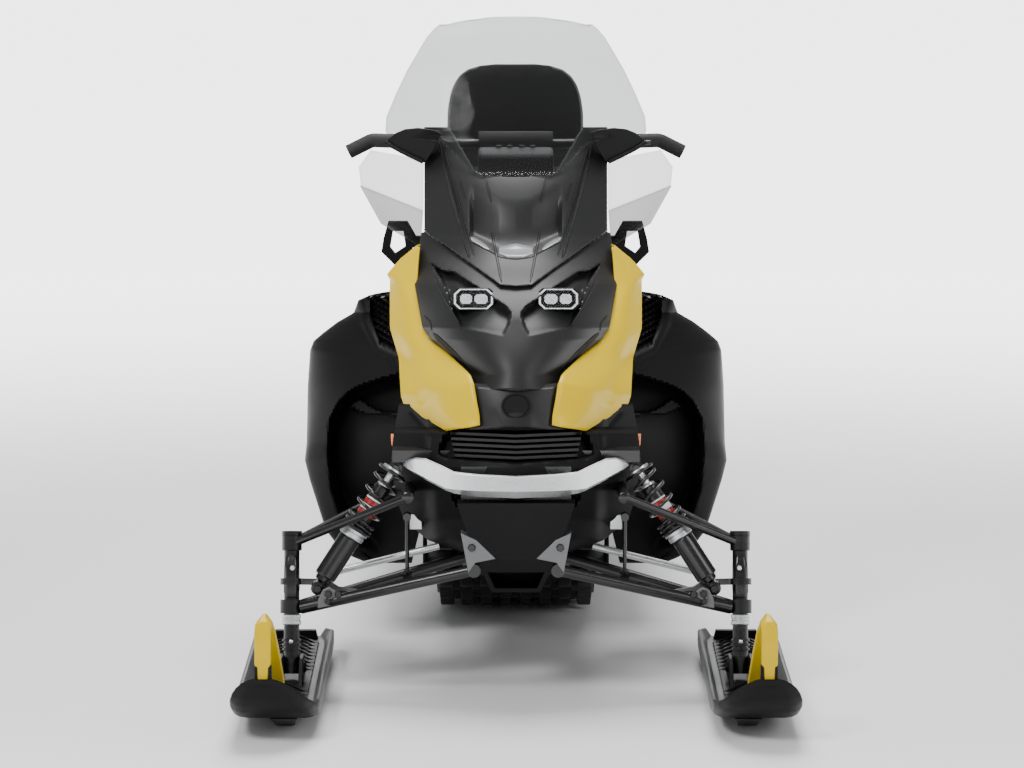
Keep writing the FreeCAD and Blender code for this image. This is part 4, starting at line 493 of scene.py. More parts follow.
def between(table: Sequence[tuple[float, ...]], at: float) -> tuple[float, ...]:
    """Read a table of rows by its first column, with straight steps between rows.

    Args:
        table: Rows in rising order of their first value.
        at: Where to read it.

    Returns:
        The other values of the row.
    """
    if at <= table[0][0]:
        return table[0][1:]
    for low, high in zip(table, table[1:]):
        if at <= high[0]:
            part = (at - low[0]) / (high[0] - low[0])
            return tuple(a + (b - a) * part for a, b in zip(low[1:], high[1:]))
    return table[-1][1:]


def eased(table: Sequence[tuple[float, ...]], at: float) -> tuple[float, ...]:
    """Read a table as between does, but along a smooth curve through its rows.

    Args:
        table: Rows in rising order of their first value.
        at: Where to read it.

    Returns:
        The other values of the row.
    """
    if at <= table[0][0] or at >= table[-1][0]:
        return between(table, at)
    index = next(i for i in range(len(table) - 1) if at <= table[i + 1][0])
    low, high = table[index], table[index + 1]
    before, after = table[max(0, index - 1)], table[min(len(table) - 1, index + 2)]
    run = high[0] - low[0]
    t = (at - low[0]) / run
    out = []
    for a, b, c, d in zip(before[1:], low[1:], high[1:], after[1:]):
        start = (c - a) / (high[0] - before[0]) * run
        end = (d - b) / (after[0] - low[0]) * run
        out.append(b * (1 + 2 * t) * (1 - t) ** 2 + start * t * (1 - t) ** 2 + c * t * t * (3 - 2 * t)
                   + end * t * t * (t - 1))
    return tuple(out)


def smooth_step(value: float) -> float:
    """Ease a number from 0 to 1."""
    value = min(1, max(0, value))
    return value * value * (3 - 2 * value)


def reach_of(point: tuple[float, float], line: Sequence[Spot]) -> float:
    """Distance from a point to an open line of straight runs, in the plane."""
    best = math.inf
    for (ax, ay), (bx, by) in zip(line, line[1:]):
        run = (bx - ax) ** 2 + (by - ay) ** 2
        part = min(1, max(0, ((point[0] - ax) * (bx - ax) + (point[1] - ay) * (by - ay)) / run))
        best = min(best, math.hypot(ax + part * (bx - ax) - point[0], ay + part * (by - ay) - point[1]))
    return best


def holds(outline: Sequence[Spot], point: tuple[float, float]) -> bool:
    """True where a closed outline holds a point."""
    inside = False
    for (ax, ay), (bx, by) in zip(outline, [*outline[1:], outline[0]]):
        if (ay > point[1]) != (by > point[1]) and point[0] < ax + (point[1] - ay) * (bx - ax) / (by - ay):
            inside = not inside
    return inside


def prism(outline: Sequence[Point], shift: Point) -> Shape:
    """Closed block from a flat outline that is moved along a direction.

    Args:
        outline: Corners of the outline, in order.
        shift: How far the far face lies from the outline.

    Returns:
        Its points and faces.
    """
    count = len(outline)
    points = list(outline) + [tuple(a + b for a, b in zip(p, shift)) for p in outline]
    faces: list[Face] = [tuple(range(count)), tuple(range(2 * count - 1, count - 1, -1))]
    faces += [(i, (i + 1) % count, (i + 1) % count + count, i + count) for i in range(count)]
    return points, faces


def tube(path: Sequence[Point], radius: float | Sequence[float], sides: int = 14) -> Shape:
    """Round bar along a path, closed at its ends.

    Args:
        path: Points of the middle line, in millimetres.
        radius: One radius, or one for each point.
        sides: Corners round the bar.

    Returns:
        Its points and faces.
    """
    line = [Vector(p) for p in path]
    sizes = [radius] * len(line) if isinstance(radius, (int, float)) else list(radius)
    points: list[Point] = []
    side_way = (line[1] - line[0]).orthogonal().normalized()
    for i, place in enumerate(line):
        along = (line[min(i + 1, len(line) - 1)] - line[max(i - 1, 0)]).normalized()
        side_way = (side_way - along * side_way.dot(along)).normalized()
        other = along.cross(side_way)
        for k in range(sides):
            turn = math.tau * k / sides
            points.append(tuple(place + (side_way * math.cos(turn) + other * math.sin(turn)) * sizes[i]))
    faces = grid_faces(len(line), sides, ring=True)
    faces += [tuple(range(sides)), tuple(range(len(points) - 1, len(points) - sides - 1, -1))]
    return points, faces


def joined(parts: Iterable[Shape]) -> Shape:
    """Put several shapes in one mesh."""
    points: list[Point] = []
    faces: list[Face] = []
    for more, sides in parts:
        faces += [tuple(i + len(points) for i in face) for face in sides]
        points += more
    return points, faces


def turned(start: Point, end: Point, profile: Sequence[Spot], sides: int = 28) -> Shape:
    """Round shape turned about a line.

    Args:
        start: Point of the line that the profile starts from.
        end: Another point of the line, which gives its direction.
        profile: Distance along the line and radius of each ring.
        sides: Corners round the shape.

    Returns:
        Its points and faces.
    """
    low = Vector(start)
    way = (Vector(end) - low).normalized()
    side_way = way.orthogonal().normalized()
    other = way.cross(side_way)
    points: list[Point] = []
    for along, radius in profile:
        for k in range(sides):
            turn = math.tau * k / sides
            out = side_way * math.cos(turn) + other * math.sin(turn)
            points.append(tuple(low + way * along + out * radius))
    faces = grid_faces(len(profile), sides, ring=True)
    faces += [tuple(range(sides)), tuple(range(len(points) - 1, len(points) - sides - 1, -1))]
    return points, faces


def block(centre: Point, half: Point, taper: float = 1) -> Shape:
    """Six-sided block, narrower at its top by a share."""
    x, y, z = centre
    a, b, c = half
    low = [(x - a, y - b, z - c), (x + a, y - b, z - c), (x + a, y + b, z - c), (x - a, y + b, z - c)]
    high = [(x + (p[0] - x) * taper, y + (p[1] - y) * taper, z + c) for p in low]
    faces: list[Face] = [(3, 2, 1, 0), (4, 5, 6, 7)]
    faces += [(i, (i + 1) % 4, (i + 1) % 4 + 4, i + 4) for i in range(4)]
    return low + high, faces


def row_tree() -> bpy.types.NodeTree:
    """Geometry nodes that repeat a shape at an even pitch along lines."""
    tree = bpy.data.node_groups.new("row_along_line", "GeometryNodeTree")
    for label, kind in (("Line", "Geometry"), ("Shape", "Object"), ("Count", "Int"), ("Level", "Vector"),
                        ("Finish", "Material")):
        tree.interface.new_socket(label, in_out="INPUT", socket_type="NodeSocket" + kind)
    tree.interface.new_socket("Row", in_out="OUTPUT", socket_type="NodeSocketGeometry")
    start = tree.nodes.new("NodeGroupInput").outputs
    line = tree.nodes.new("GeometryNodeMeshToCurve")
    even = tree.nodes.new("GeometryNodeResampleCurve")
    even.mode = "COUNT"
    forward = tree.nodes.new("GeometryNodeInputTangent")
    level = tree.nodes.new("FunctionNodeAlignRotationToVector")
    level.axis = "X"
    aim = tree.nodes.new("FunctionNodeAlignRotationToVector")
    aim.axis = "Y"
    aim.pivot_axis = "X"
    item = tree.nodes.new("GeometryNodeObjectInfo")
    put = tree.nodes.new("GeometryNodeInstanceOnPoints")
    real = tree.nodes.new("GeometryNodeRealizeInstances")
    dress = tree.nodes.new("GeometryNodeSetMaterial")
    wire(tree, start["Line"], line.inputs["Mesh"])
    wire(tree, line.outputs["Curve"], even.inputs["Curve"])
    wire(tree, start["Count"], even.inputs["Count"])
    wire(tree, start["Level"], level.inputs["Vector"])
    wire(tree, level.outputs["Rotation"], aim.inputs["Rotation"])
    wire(tree, forward.outputs["Tangent"], aim.inputs["Vector"])
    wire(tree, start["Shape"], item.inputs["Object"])
    wire(tree, even.outputs["Curve"], put.inputs["Points"])
    wire(tree, item.outputs["Geometry"], put.inputs["Instance"])
    wire(tree, aim.outputs["Rotation"], put.inputs["Rotation"])
    wire(tree, put.outputs["Instances"], real.inputs["Geometry"])
    wire(tree, real.outputs["Geometry"], dress.inputs["Geometry"])
    wire(tree, start["Finish"], dress.inputs["Material"])
    wire(tree, dress.outputs["Geometry"], tree.nodes.new("NodeGroupOutput").inputs["Row"])
    return tree


def row_of(name: str, lines: Sequence[Sequence[Point]], shape: Shape, count: int,
           finish: Finish, level: Point = (1, 0, 0), closed: bool = False) -> bpy.types.Object:
    """Repeat a small shape along lines and keep the result as a plain mesh.

    Args:
        name: Name of the piece.
        lines: Lines in the frame, in millimetres.
        shape: Points and faces of the shape: x across the line, y along it, z up from it.
        count: How many stand on each line.
        finish: Finish of the whole row.
        level: Direction that the shape's x keeps to.
        closed: True where each line closes on itself.

    Returns:
        The object, at the origin.
    """
    item = new_piece(name + "_item", *shape, finish, 30)
    points = [tuple(v * MM for v in p) for line in lines for p in line]
    edges: list[Face] = []
    start = 0
    for line in lines:
        edges += [(start + i, start + i + 1) for i in range(len(line) - 1)]
        if closed:
            edges.append((start + len(line) - 1, start))
        start += len(line)
    mesh = bpy.data.meshes.new(name)
    mesh.from_pydata(points, edges, [])
    piece = bpy.data.objects.new(name, mesh)
    bpy.context.scene.collection.objects.link(piece)
    tree = bpy.data.node_groups.get("row_along_line") or row_tree()
    grow = piece.modifiers.new("row", "NODES")
    grow.node_group = tree
    slots = {item.name: item.identifier for item in tree.interface.items_tree if item.in_out == "INPUT"}
    grow[slots["Shape"]] = item
    grow[slots["Count"]] = count
    grow[slots["Level"]] = tuple(float(v) for v in level)
    grow[slots["Finish"]] = finish.material()
    bake(piece)
    bpy.data.objects.remove(item)
    return piece


def rounded_path(corners: Sequence[Point], steps: int = 10) -> list[Point]:
    """Smooth line near a row of corners, from their straight runs."""
    line = [Vector(p) for p in corners]
    out: list[Point] = [tuple(line[0])]
    for before, corner, after in zip(line, line[1:], line[2:]):
        start, end = (before + corner) / 2, (corner + after) / 2
        for i in range(steps + 1):
            t = i / steps
            out.append(tuple(start * (1 - t) ** 2 + corner * 2 * t * (1 - t) + end * t * t))
    out.append(tuple(line[-1]))
    return out


# Hood, panels, screen and dash


@dataclass
class Hood:
    """Black hood: one relief surface that follows the machine's face."""

    rows: int = 200
    columns: int = 130
    top: float = 127
    bottom: float = 389
    flank: tuple[float, ...] = (16, 60, 120, 190)
    halves: Table = (
        (127, 91.5), (235, 91.5), (262, 97), (284, 98), (328, 90), (340, 82), (375, 45), (383, 42.5),
        (389, 42))
    depths: Table = (
        (127, 585), (150, 520), (176, 440), (215, 365), (245, 300), (262, 250), (285, 160), (300, 115),
        (330, 55), (360, 5), (389, -24))
    crowns: Table = ((127, 50), (176, 110), (262, 150), (300, 180), (340, 170), (389, 60))
    opening: Outline = ((72, 120), (42, 171), (33, 176.5), (0, 177))
    seam: Outline = ((92, 229), (88, 233), (16, 285), (0, 286.5))
    socket: Outline = (
        (87, 261), (73, 270), (62, 271), (30, 292), (9, 306), (4, 313), (6.5, 326), (12, 336), (55, 328),
        (65, 306), (70, 289))
    shelf: Outline = ((46, 241), (26, 251), (16, 257), (0, 259))
    ridges: Table = (
        (24, 232, 14.5, 281, 1.5, 5), (79, 138, 47, 256, 2, 6), (72, 150, 42, 254, 1.3, 4),
        (56, 181, 51, 199, 1.1, 3.5), (30, 178, 25, 201, 1.1, 4))
    wing: Outline = ((45, 237.5), (26.5, 249.5))
    notch: Outline = ((92, 315), (86, 322), (84, 331))
    lower: Outline = ((83, 333), (62, 353), (46, 371))
    brow: Outline = ((86, 262.5), (79, 285), (68, 305), (53.5, 328))

    def relief(self, across: float, py: float) -> float:
        """How far the surface lies behind its smooth form, in millimetres.

        Args:
            across: Pixels from the centre line.
            py: Picture row.

        Returns:
            The depth; less than zero stands proud.
        """
        spot = (across, py)
        deep = 0
        seam_row = between(tuple(reversed([(a, b) for a, b in self.seam])), across)[0]
        below = py - seam_row
        if below > 0:
            deep += 13 * (1 - smooth_step(below / 34))
        shelf_row = between(tuple(reversed(self.shelf)), across)[0]
        above = shelf_row - py
        if across < 47 and above > 0:
            edge = smooth_step((47 - across) / 5)
            deep += 30 * smooth_step(above / 11) * (1 - smooth_step((above - 11) / 50)) * edge
        if holds(self.socket, spot):
            edge = smooth_step(reach_of(spot, [*self.socket, self.socket[0]]) / 3)
            deep += edge * (6 + 34 * smooth_step((337 - py) / 34))
        return deep

    def surface(self, across: float, py: float, proud: float = 0) -> Point:
        """Point of the shell, or of one that stands before it."""
        half, = between(self.halves, py)
        depth, = eased(self.depths, py)
        crown, = eased(self.crowns, py)
        deep = depth + crown * min(1, abs(across) / half) ** 2.2 + self.relief(abs(across), py)
        return SIGHT.spot(SIGHT.centre_x + across, py, deep - proud)

    def ribbon(self, line: Sequence[Spot], half: float, proud: float, way: int,
               sunk: float = -1.5) -> Shape:
        """Raised or flat strip that follows a line on the shell.

        Args:
            line: Its corners, as pixels across and picture rows.
            half: Half its width in pixels.
            proud: How far its middle stands up, in millimetres.
            way: 1 for the right of the picture, -1 for the left.
            sunk: How far its edges stand up.

        Returns:
            Its points and faces.
        """
        points: list[Point] = []
        places: list[Spot] = []
        for (ax, ay), (bx, by) in zip(line, line[1:]):
            steps = max(2, int(math.hypot(bx - ax, by - ay) / 1.5))
            places += [(ax + (bx - ax) * i / steps, ay + (by - ay) * i / steps) for i in range(steps)]
        places.append(line[-1])
        for i, (px, py) in enumerate(places):
            (ax, ay), (bx, by) = places[max(0, i - 1)], places[min(len(places) - 1, i + 1)]
            run = math.hypot(bx - ax, by - ay)
            nx, ny = -(by - ay) / run, (bx - ax) / run
            thin = min(1, 0.35 + min(i, len(places) - 1 - i) / 5)
            for t, up in ((-1, sunk), (-0.35, proud), (0.35, proud), (1, sunk)):
                points.append(self.surface(way * (px + nx * half * t * thin), py + ny * half * t * thin, up))
        return points, grid_faces(len(places), 4)

    def trim(self) -> None:
        """Lay on the seams, ridges and the lighter strips that paint the lights' highlight on the ledge."""
        ridges = []
        dark = []
        for way in (1, -1):
            ridges += [self.ribbon(((ax, ay), (bx, by)), wide, high, way)
                       for ax, ay, bx, by, wide, high in self.ridges]
            ridges.append(self.ribbon(self.brow, 0.9, 3, way))
            dark.append(self.ribbon(self.seam[:-1], 1.3, 0.8, way, 0.4))
            dark.append(self.ribbon(self.shelf[:-1], 0.9, 0.9, way, 0.5))
            dark.append(self.ribbon(self.notch, 1.3, 0.8, way, 0.4))
            dark.append(self.ribbon(self.lower, 2.2, 0.8, way, 0.4))
        dark.append(self.ribbon([(-x, y) for x, y in self.seam[-2:]] + [self.seam[-2]], 1.3, 0.8, 1, 0.4))
        dark.append(self.ribbon([(-x, y) for x, y in self.shelf[-2:]] + [self.shelf[-2]], 0.9, 0.9, 1, 0.5))
        lines = new_piece("hood_ridges", *joined(ridges), HOOD_BLACK, 20)
        seams = new_piece("hood_seams", *joined(dark), DEEP_BLACK, 30)
        # Painted highlight: lighter grey strips on the ledge and on the band above the V step, where the
        # lights reflect.
        bright = [self.ribbon(self.wing, 2.6, 1, 1, 0.6), self.ribbon(self.wing, 2.6, 1, -1, 0.6)]
        plate: list[Point] = []
        for across in range(-17, 18):
            top = 243.5 + 3.5 * abs(across) / 17
            low = 257.5 - 4 * max(0, (abs(across) - 8) / 9)
            plate += [self.surface(float(across), top + (low - top) * k / 4, 1.2) for k in range(5)]
        bright.append((plate, grid_faces(35, 5)))
        strips = new_piece("hood_strips", *joined(bright), HOOD_PAINTED_HIGHLIGHT, 25)
        for piece in (lines, seams, strips):
            thicken(piece, 1.6)
            settle(piece, CHASSIS, "black_plastic")

    def build(self) -> None:
        """Make the shell and put it in the hood's place."""
        points: list[Point] = []
        gone: set[int] = set()
        extra = len(self.flank)
        for row in range(self.rows + 1):
            py = self.bottom + (self.top - self.bottom) * row / self.rows
            half, = between(self.halves, py)
            depth, = eased(self.depths, py)
            crown, = eased(self.crowns, py)
            for column in range(-extra, self.columns + extra + 1):
                share = min(1, max(-1, 2 * column / self.columns - 1))
                px = SIGHT.centre_x + share * half
                deep = depth + crown * abs(share) ** 2.2 + self.relief(abs(share) * half, py)
                x, y, z = SIGHT.spot(px, py, deep)
                past = -column if column < 0 else column - self.columns
                if past > 0:
                    y += self.flank[past - 1]
                    x += math.copysign(9 - self.flank[past - 1] * 0.06, x) if py > 232 else 0
                    z -= self.flank[past - 1] * 0.1
                if self.gap(abs(share) * half, py):
                    gone.add(len(points))
                points.append((x, y, z))
        faces = [face for face in grid_faces(self.rows + 1, self.columns + 2 * extra + 1)
                 if not gone.issuperset(face)]
        used = sorted({i for face in faces for i in face})
        number = {old: new for new, old in enumerate(used)}
        set_piece("hood_shell", ([points[i] for i in used], [tuple(number[i] for i in f) for f in faces]),
                  HOOD_BLACK, "black_plastic", "hood", angle=32, wall=3)
        self.trim()

    def gap(self, across: float, py: float) -> bool:
        """True in the opening under the screen, where the dash shows."""
        row, = between(tuple(reversed(self.opening)), across)
        return across < self.opening[0][0] and py < row


@dataclass
class FlankPanel:
    """Yellow panel of one side, from the hood's shoulder down to the nose."""

    side: Side
    outer: tuple[Point, ...] = (
        (616, 246, 400), (632, 259, 430), (645, 274, 445), (642, 280, 430), (642, 305, 400), (642, 328, 365),
        (633, 358, 300), (632, 380, 250), (631, 396, 215), (627, 408, 190), (604, 420, 110), (586, 431, 50))
    inner: tuple[Point, ...] = (
        (613, 247, 385), (614, 262, 370), (615, 284, 345), (611, 306, 310), (607, 328, 265), (599, 340, 230),
        (580, 357, 140), (562, 374, 35), (559, 383, 5), (556, 402, -15), (553, 416, -22), (552, 425, -25))
    columns: int = 14

    def build(self) -> None:
        """Make the panel with its crease and give it its wall."""
        points: list[Point] = []
        rows = 48
        for row in range(rows + 1):
            at = row / rows * (len(self.outer) - 1)
            out = self.read(self.outer, at)
            inn = self.read(self.inner, at)
            for column in range(self.columns + 1):
                t = column / self.columns
                px, py, deep = (a + (b - a) * t for a, b in zip(inn, out))
                bulge = 26 * math.sin(math.pi * t) * min(1, at / 3)
                fold = reach_of((px, py), ((632, 350), (607, 403)))
                hollow = 9 * smooth_step(1 - fold / 9) if px > 607 else 5 * smooth_step(1 - fold / 4)
                facet = 14 * smooth_step((px - 590) / 12) * smooth_step((py - 380) / 30)
                points.append(SIGHT.spot(px, py, deep - bulge + hollow + facet))
            x, y, z = points[-1]
            points.append((x - 3, y + 18, z))
            points.append((x - 9, y + 36, z))
        points = flip(points, self.side)
        set_piece("flank_panel_" + self.side.word, (points, grid_faces(rows + 1, self.columns + 3)), YELLOW,
                  "yellow_plastic", "side_panel_" + self.side.word, angle=28, wall=4)

    @staticmethod
    def read(line: Sequence[Point], at: float) -> Point:
        """Point of a line of corners at a share of its count."""
        low = min(int(at), len(line) - 2)
        part = at - low
        return tuple(a + (b - a) * part for a, b in zip(line[low], line[low + 1]))


@dataclass
class Screen:
    """Tall clear windshield with its swept sides."""

    rows: Table = (
        (16.5, 40, 622), (18.5, 60, 620), (22, 73.5, 616), (29, 82, 611), (37, 89, 604), (52, 98, 586),
        (70, 108.5, 562), (94, 120, 538), (117, 129.5, 515), (131, 130.5, 503), (134, 129, 501),
        (138, 96, 498), (142, 74, 494), (152, 63, 482), (163, 52, 466), (171, 44, 453), (176.5, 34, 440))
    wrap: float = 80
    columns: int = 40

    def build(self) -> None:
        """Make the sheet and give it its wall."""
        points: list[Point] = []
        steps = 3
        stations = [self.rows[0]]
        for low, high in zip(self.rows, self.rows[1:]):
            stations += [tuple(a + (b - a) * (k + 1) / steps for a, b in zip(low, high))
                         for k in range(steps)]
        for py, half, depth in stations:
            for column in range(self.columns + 1):
                share = 2 * column / self.columns - 1
                across = share * half
                lift = 3.5 * (abs(share) ** 4) if py < 24 else 0
                bent = self.wrap * (abs(across) / 130) ** 2
                points.append(SIGHT.spot(SIGHT.centre_x + across, py + lift, depth + bent))
        set_piece("screen_sheet", (points, grid_faces(len(stations), self.columns + 1)), CLEAR,
                  "clear_plastic", "windshield", angle=60, wall=3)


@dataclass
class DashWing:
    """Black dash wing and the clear hand deflector of one side."""

    side: Side
    wing: Outline = (
        (590, 133.5), (598, 130.2), (614, 128), (627, 129.3), (636, 133), (645.5, 141), (645.5, 144),
        (634, 150.5), (609, 163), (605, 161), (597, 148))
    inner: Outline = ((608, 160), (608.5, 186), (608.5, 210.5), (611, 246))
    outer: Outline = ((661, 150), (673, 167), (671, 185.5), (650, 223))

    def build(self) -> None:
        """Make both pieces as thin shells with depth."""
        front = [SIGHT.spot(px, py, 535 + 0.6 * abs(px - 600)) for px, py in self.wing]
        set_piece("dash_cowl_" + self.side.word, prism(flip(front, self.side), (0, 42, -3)), BODY_BLACK,
                  "black_plastic", "dash_wing_" + self.side.word, angle=30, edge=(5, 3))
        lip = [SIGHT.spot(px, py, 530 + 0.6 * (px - 600))
               for px, py in ((646.5, 142), (634, 150), (609, 162))]
        set_piece("dash_lip_" + self.side.word, tube(rounded_path(flip(lip, self.side)), 4.5), BODY_BLACK,
                  "black_plastic")
        upper = self.pane("hand_pane_" + self.side.word, 0, 2, PANE)
        settle(upper, CHASSIS, "clear_plastic", "deflector_" + self.side.word)
        # The lower facet gets the darker copy of the clear finish: painted shade where the deflector folds
        # back.
        settle(self.pane("hand_pane_low_" + self.side.word, 2, 3, PANE_PAINTED_SHADE), CHASSIS, "clear_plastic")

    def pane(self, name: str, first: int, last: int, finish: ClearFinish) -> bpy.types.Object:
        """One facet of the clear deflector.

        Args:
            name: Name of the piece.
            first: First row of the edge tables.
            last: Last row of the edge tables.
            finish: Its clear finish.

        Returns:
            The thin sheet.
        """
        rows = 6 * (last - first)
        points: list[Point] = []
        for row in range(rows + 1):
            at = first + row / 6
            a = FlankPanel.read([(x, y, 0) for x, y in self.inner], at)
            b = FlankPanel.read([(x, y, 0) for x, y in self.outer], at)
            for column in range(13):
                t = column / 12
                px, py = a[0] + (b[0] - a[0]) * t, a[1] + (b[1] - a[1]) * t
                points.append(SIGHT.spot(px, py, 600 + 40 * t * t + 30 * max(0, at - 2)))
        sheet = new_piece(name, flip(points, self.side), grid_faces(rows + 1, 13), finish, 50)
        thicken(sheet, 3)
        return sheet


@dataclass
class Headlamp:
    """Eight-sided lamp of one side with its bright rim and lens."""

    side: Side
    centre: tuple[float, float] = (558.5, 299)
    half: tuple[float, float] = (19.5, 10)
    depth: float = 158

    def outline(self, grow: float, behind: float) -> list[Point]:
        """Eight corners of the lamp, scaled and set back."""
        shares = ((-1, -0.5), (-0.72, -1), (0.72, -1), (1, -0.5), (1, 0.5), (0.72, 1), (-0.72, 1), (-1, 0.5))
        cx, cy = self.centre
        return flip([SIGHT.spot(cx + sx * self.half[0] * grow, cy + sy * self.half[1] * grow,
                                self.depth + behind) for sx, sy in shares], self.side)

    def build(self) -> None:
        """Make the housing, rim, mirror cells and lens."""
        word = self.side.word
        rings = [self.outline(1.1, 60), self.outline(1.12, -4), self.outline(0.98, -8), self.outline(0.9, 0),
                 self.outline(0.86, 24)]
        points = [p for ring in rings for p in ring]
        count = 8 * len(rings)
        faces = grid_faces(len(rings), 8, ring=True) + [tuple(range(count - 1, count - 9, -1))]
        set_piece("lamp_dish_" + word, (points, faces), DEEP_BLACK, "lamp_lens", "headlamp_" + word, angle=20,
                  wall=2)
        rim = [self.outline(1, -9), self.outline(1, -12), self.outline(0.9, -12), self.outline(0.88, -2)]
        points = [p for ring in rim for p in ring]
        set_piece("lamp_rim_" + word, (points, grid_faces(4, 8, ring=True)), CHROME, "lamp_lens", angle=20,
                  wall=1.2)
        cells = []
        cell = ((-1, -0.5), (-0.6, -1), (0.6, -1), (1, -0.5), (1, 0.5), (0.6, 1), (-0.6, 1), (-1, 0.5))
        cx, cy = self.centre
        for mid, wide in ((cx - 7.6, 6.8), (cx + 7.4, 6.2)):
            for grow, deep in ((1, 0), (0.62, 7)):
                corners = [SIGHT.spot(mid + wide * grow * sx, cy + 5.2 * grow * sy, self.depth + 2 + deep)
                           for sx, sy in cell]
                cells.append(prism(flip(corners, self.side), (0, 4, 0)))
        set_piece("lamp_cells_" + word, joined(cells), CHROME, "lamp_lens", angle=20, edge=(0.8, 2))
        front = self.outline(0.95, -6)
        set_piece("lamp_glass_" + word, prism(front, (0, 3, 0)), LENS, "lamp_lens", angle=20)


@dataclass
class Nose:
    """Silver bumper bar and the centre panel with its bare boss."""

    panel: Table = ((383, 43.5, 2), (388, 43, -14), (405, 39.5, -30), (425, 36, -40), (429, 50, -34))
    bar: Table = (
        (0, 476, 491.6, 498.5, -112), (40, 474, 490.8, 497, -105), (62, 471.5, 489.6, 493.5, -88),
        (70, 467.5, 488.6, 490.5, -75), (90, 458.2, 478.5, 480, -25), (100, 457.5, 473, 474.5, 5),
        (108, 459.5, 468.8, 469.5, 30), (113, 463, 465, 465.5, 45))

    def build(self) -> None:
        """Make the bumper and the centre panel."""
        self.bumper()
        self.centre()

    def bumper(self) -> None:
        """Faceted silver bar across the nose."""
        points: list[Point] = []
        line = [(-a, b, c, d, e) for a, b, c, d, e in reversed(self.bar[1:])] + list(self.bar)
        for across, top, low, under, deep in line:
            px = SIGHT.centre_x + across
            middle = (top + low) / 2
            points += [SIGHT.spot(px, top + 2, deep + 24), SIGHT.spot(px, top, deep + 7),
                       SIGHT.spot(px, top + 1.5, deep), SIGHT.spot(px, low, deep - 4),
                       SIGHT.spot(px, under, deep + 12), SIGHT.spot(px, middle, deep + 30)]
        faces = grid_faces(len(line), 6, ring=True)
        faces += [tuple(range(6)), tuple(range(len(points) - 1, len(points) - 7, -1))]
        set_piece("bumper_bar", (points, faces), SILVER, "brushed_silver", "front_bumper", angle=30,
                  edge=(3, 3, 25))

    def centre(self) -> None:
        """Panel between the yellow ones, with its bare round boss."""
        points: list[Point] = []
        for py, half, deep in self.panel:
            for column in range(13):
                share = column / 6 - 1
                drop = 3.5 * (1 - abs(share)) if py < 400 else 1.5 * (1 - abs(share))
                points.append(SIGHT.spot(SIGHT.centre_x + share * half, py + drop, deep + 24 * share * share))
        set_piece("nose_centre", (points, grid_faces(len(self.panel), 13)), HOOD_BLACK, "black_plastic",
                  "centre_panel", angle=30, wall=4)
        boss: list[Point] = []
        for round_px, deep in ((15, -30), (15, -35), (13, -36), (12.4, -33)):
            for k in range(40):
                turn = math.tau * k / 40
                boss.append(SIGHT.spot(SIGHT.centre_x + round_px * math.cos(turn),
                                       406 + round_px * 0.86 * math.sin(turn), deep))
        faces = grid_faces(4, 40, ring=True) + [tuple(range(159, 119, -1))]
        set_piece("nose_boss", (boss, faces), BODY_BLACK, "black_plastic", angle=25, wall=1)


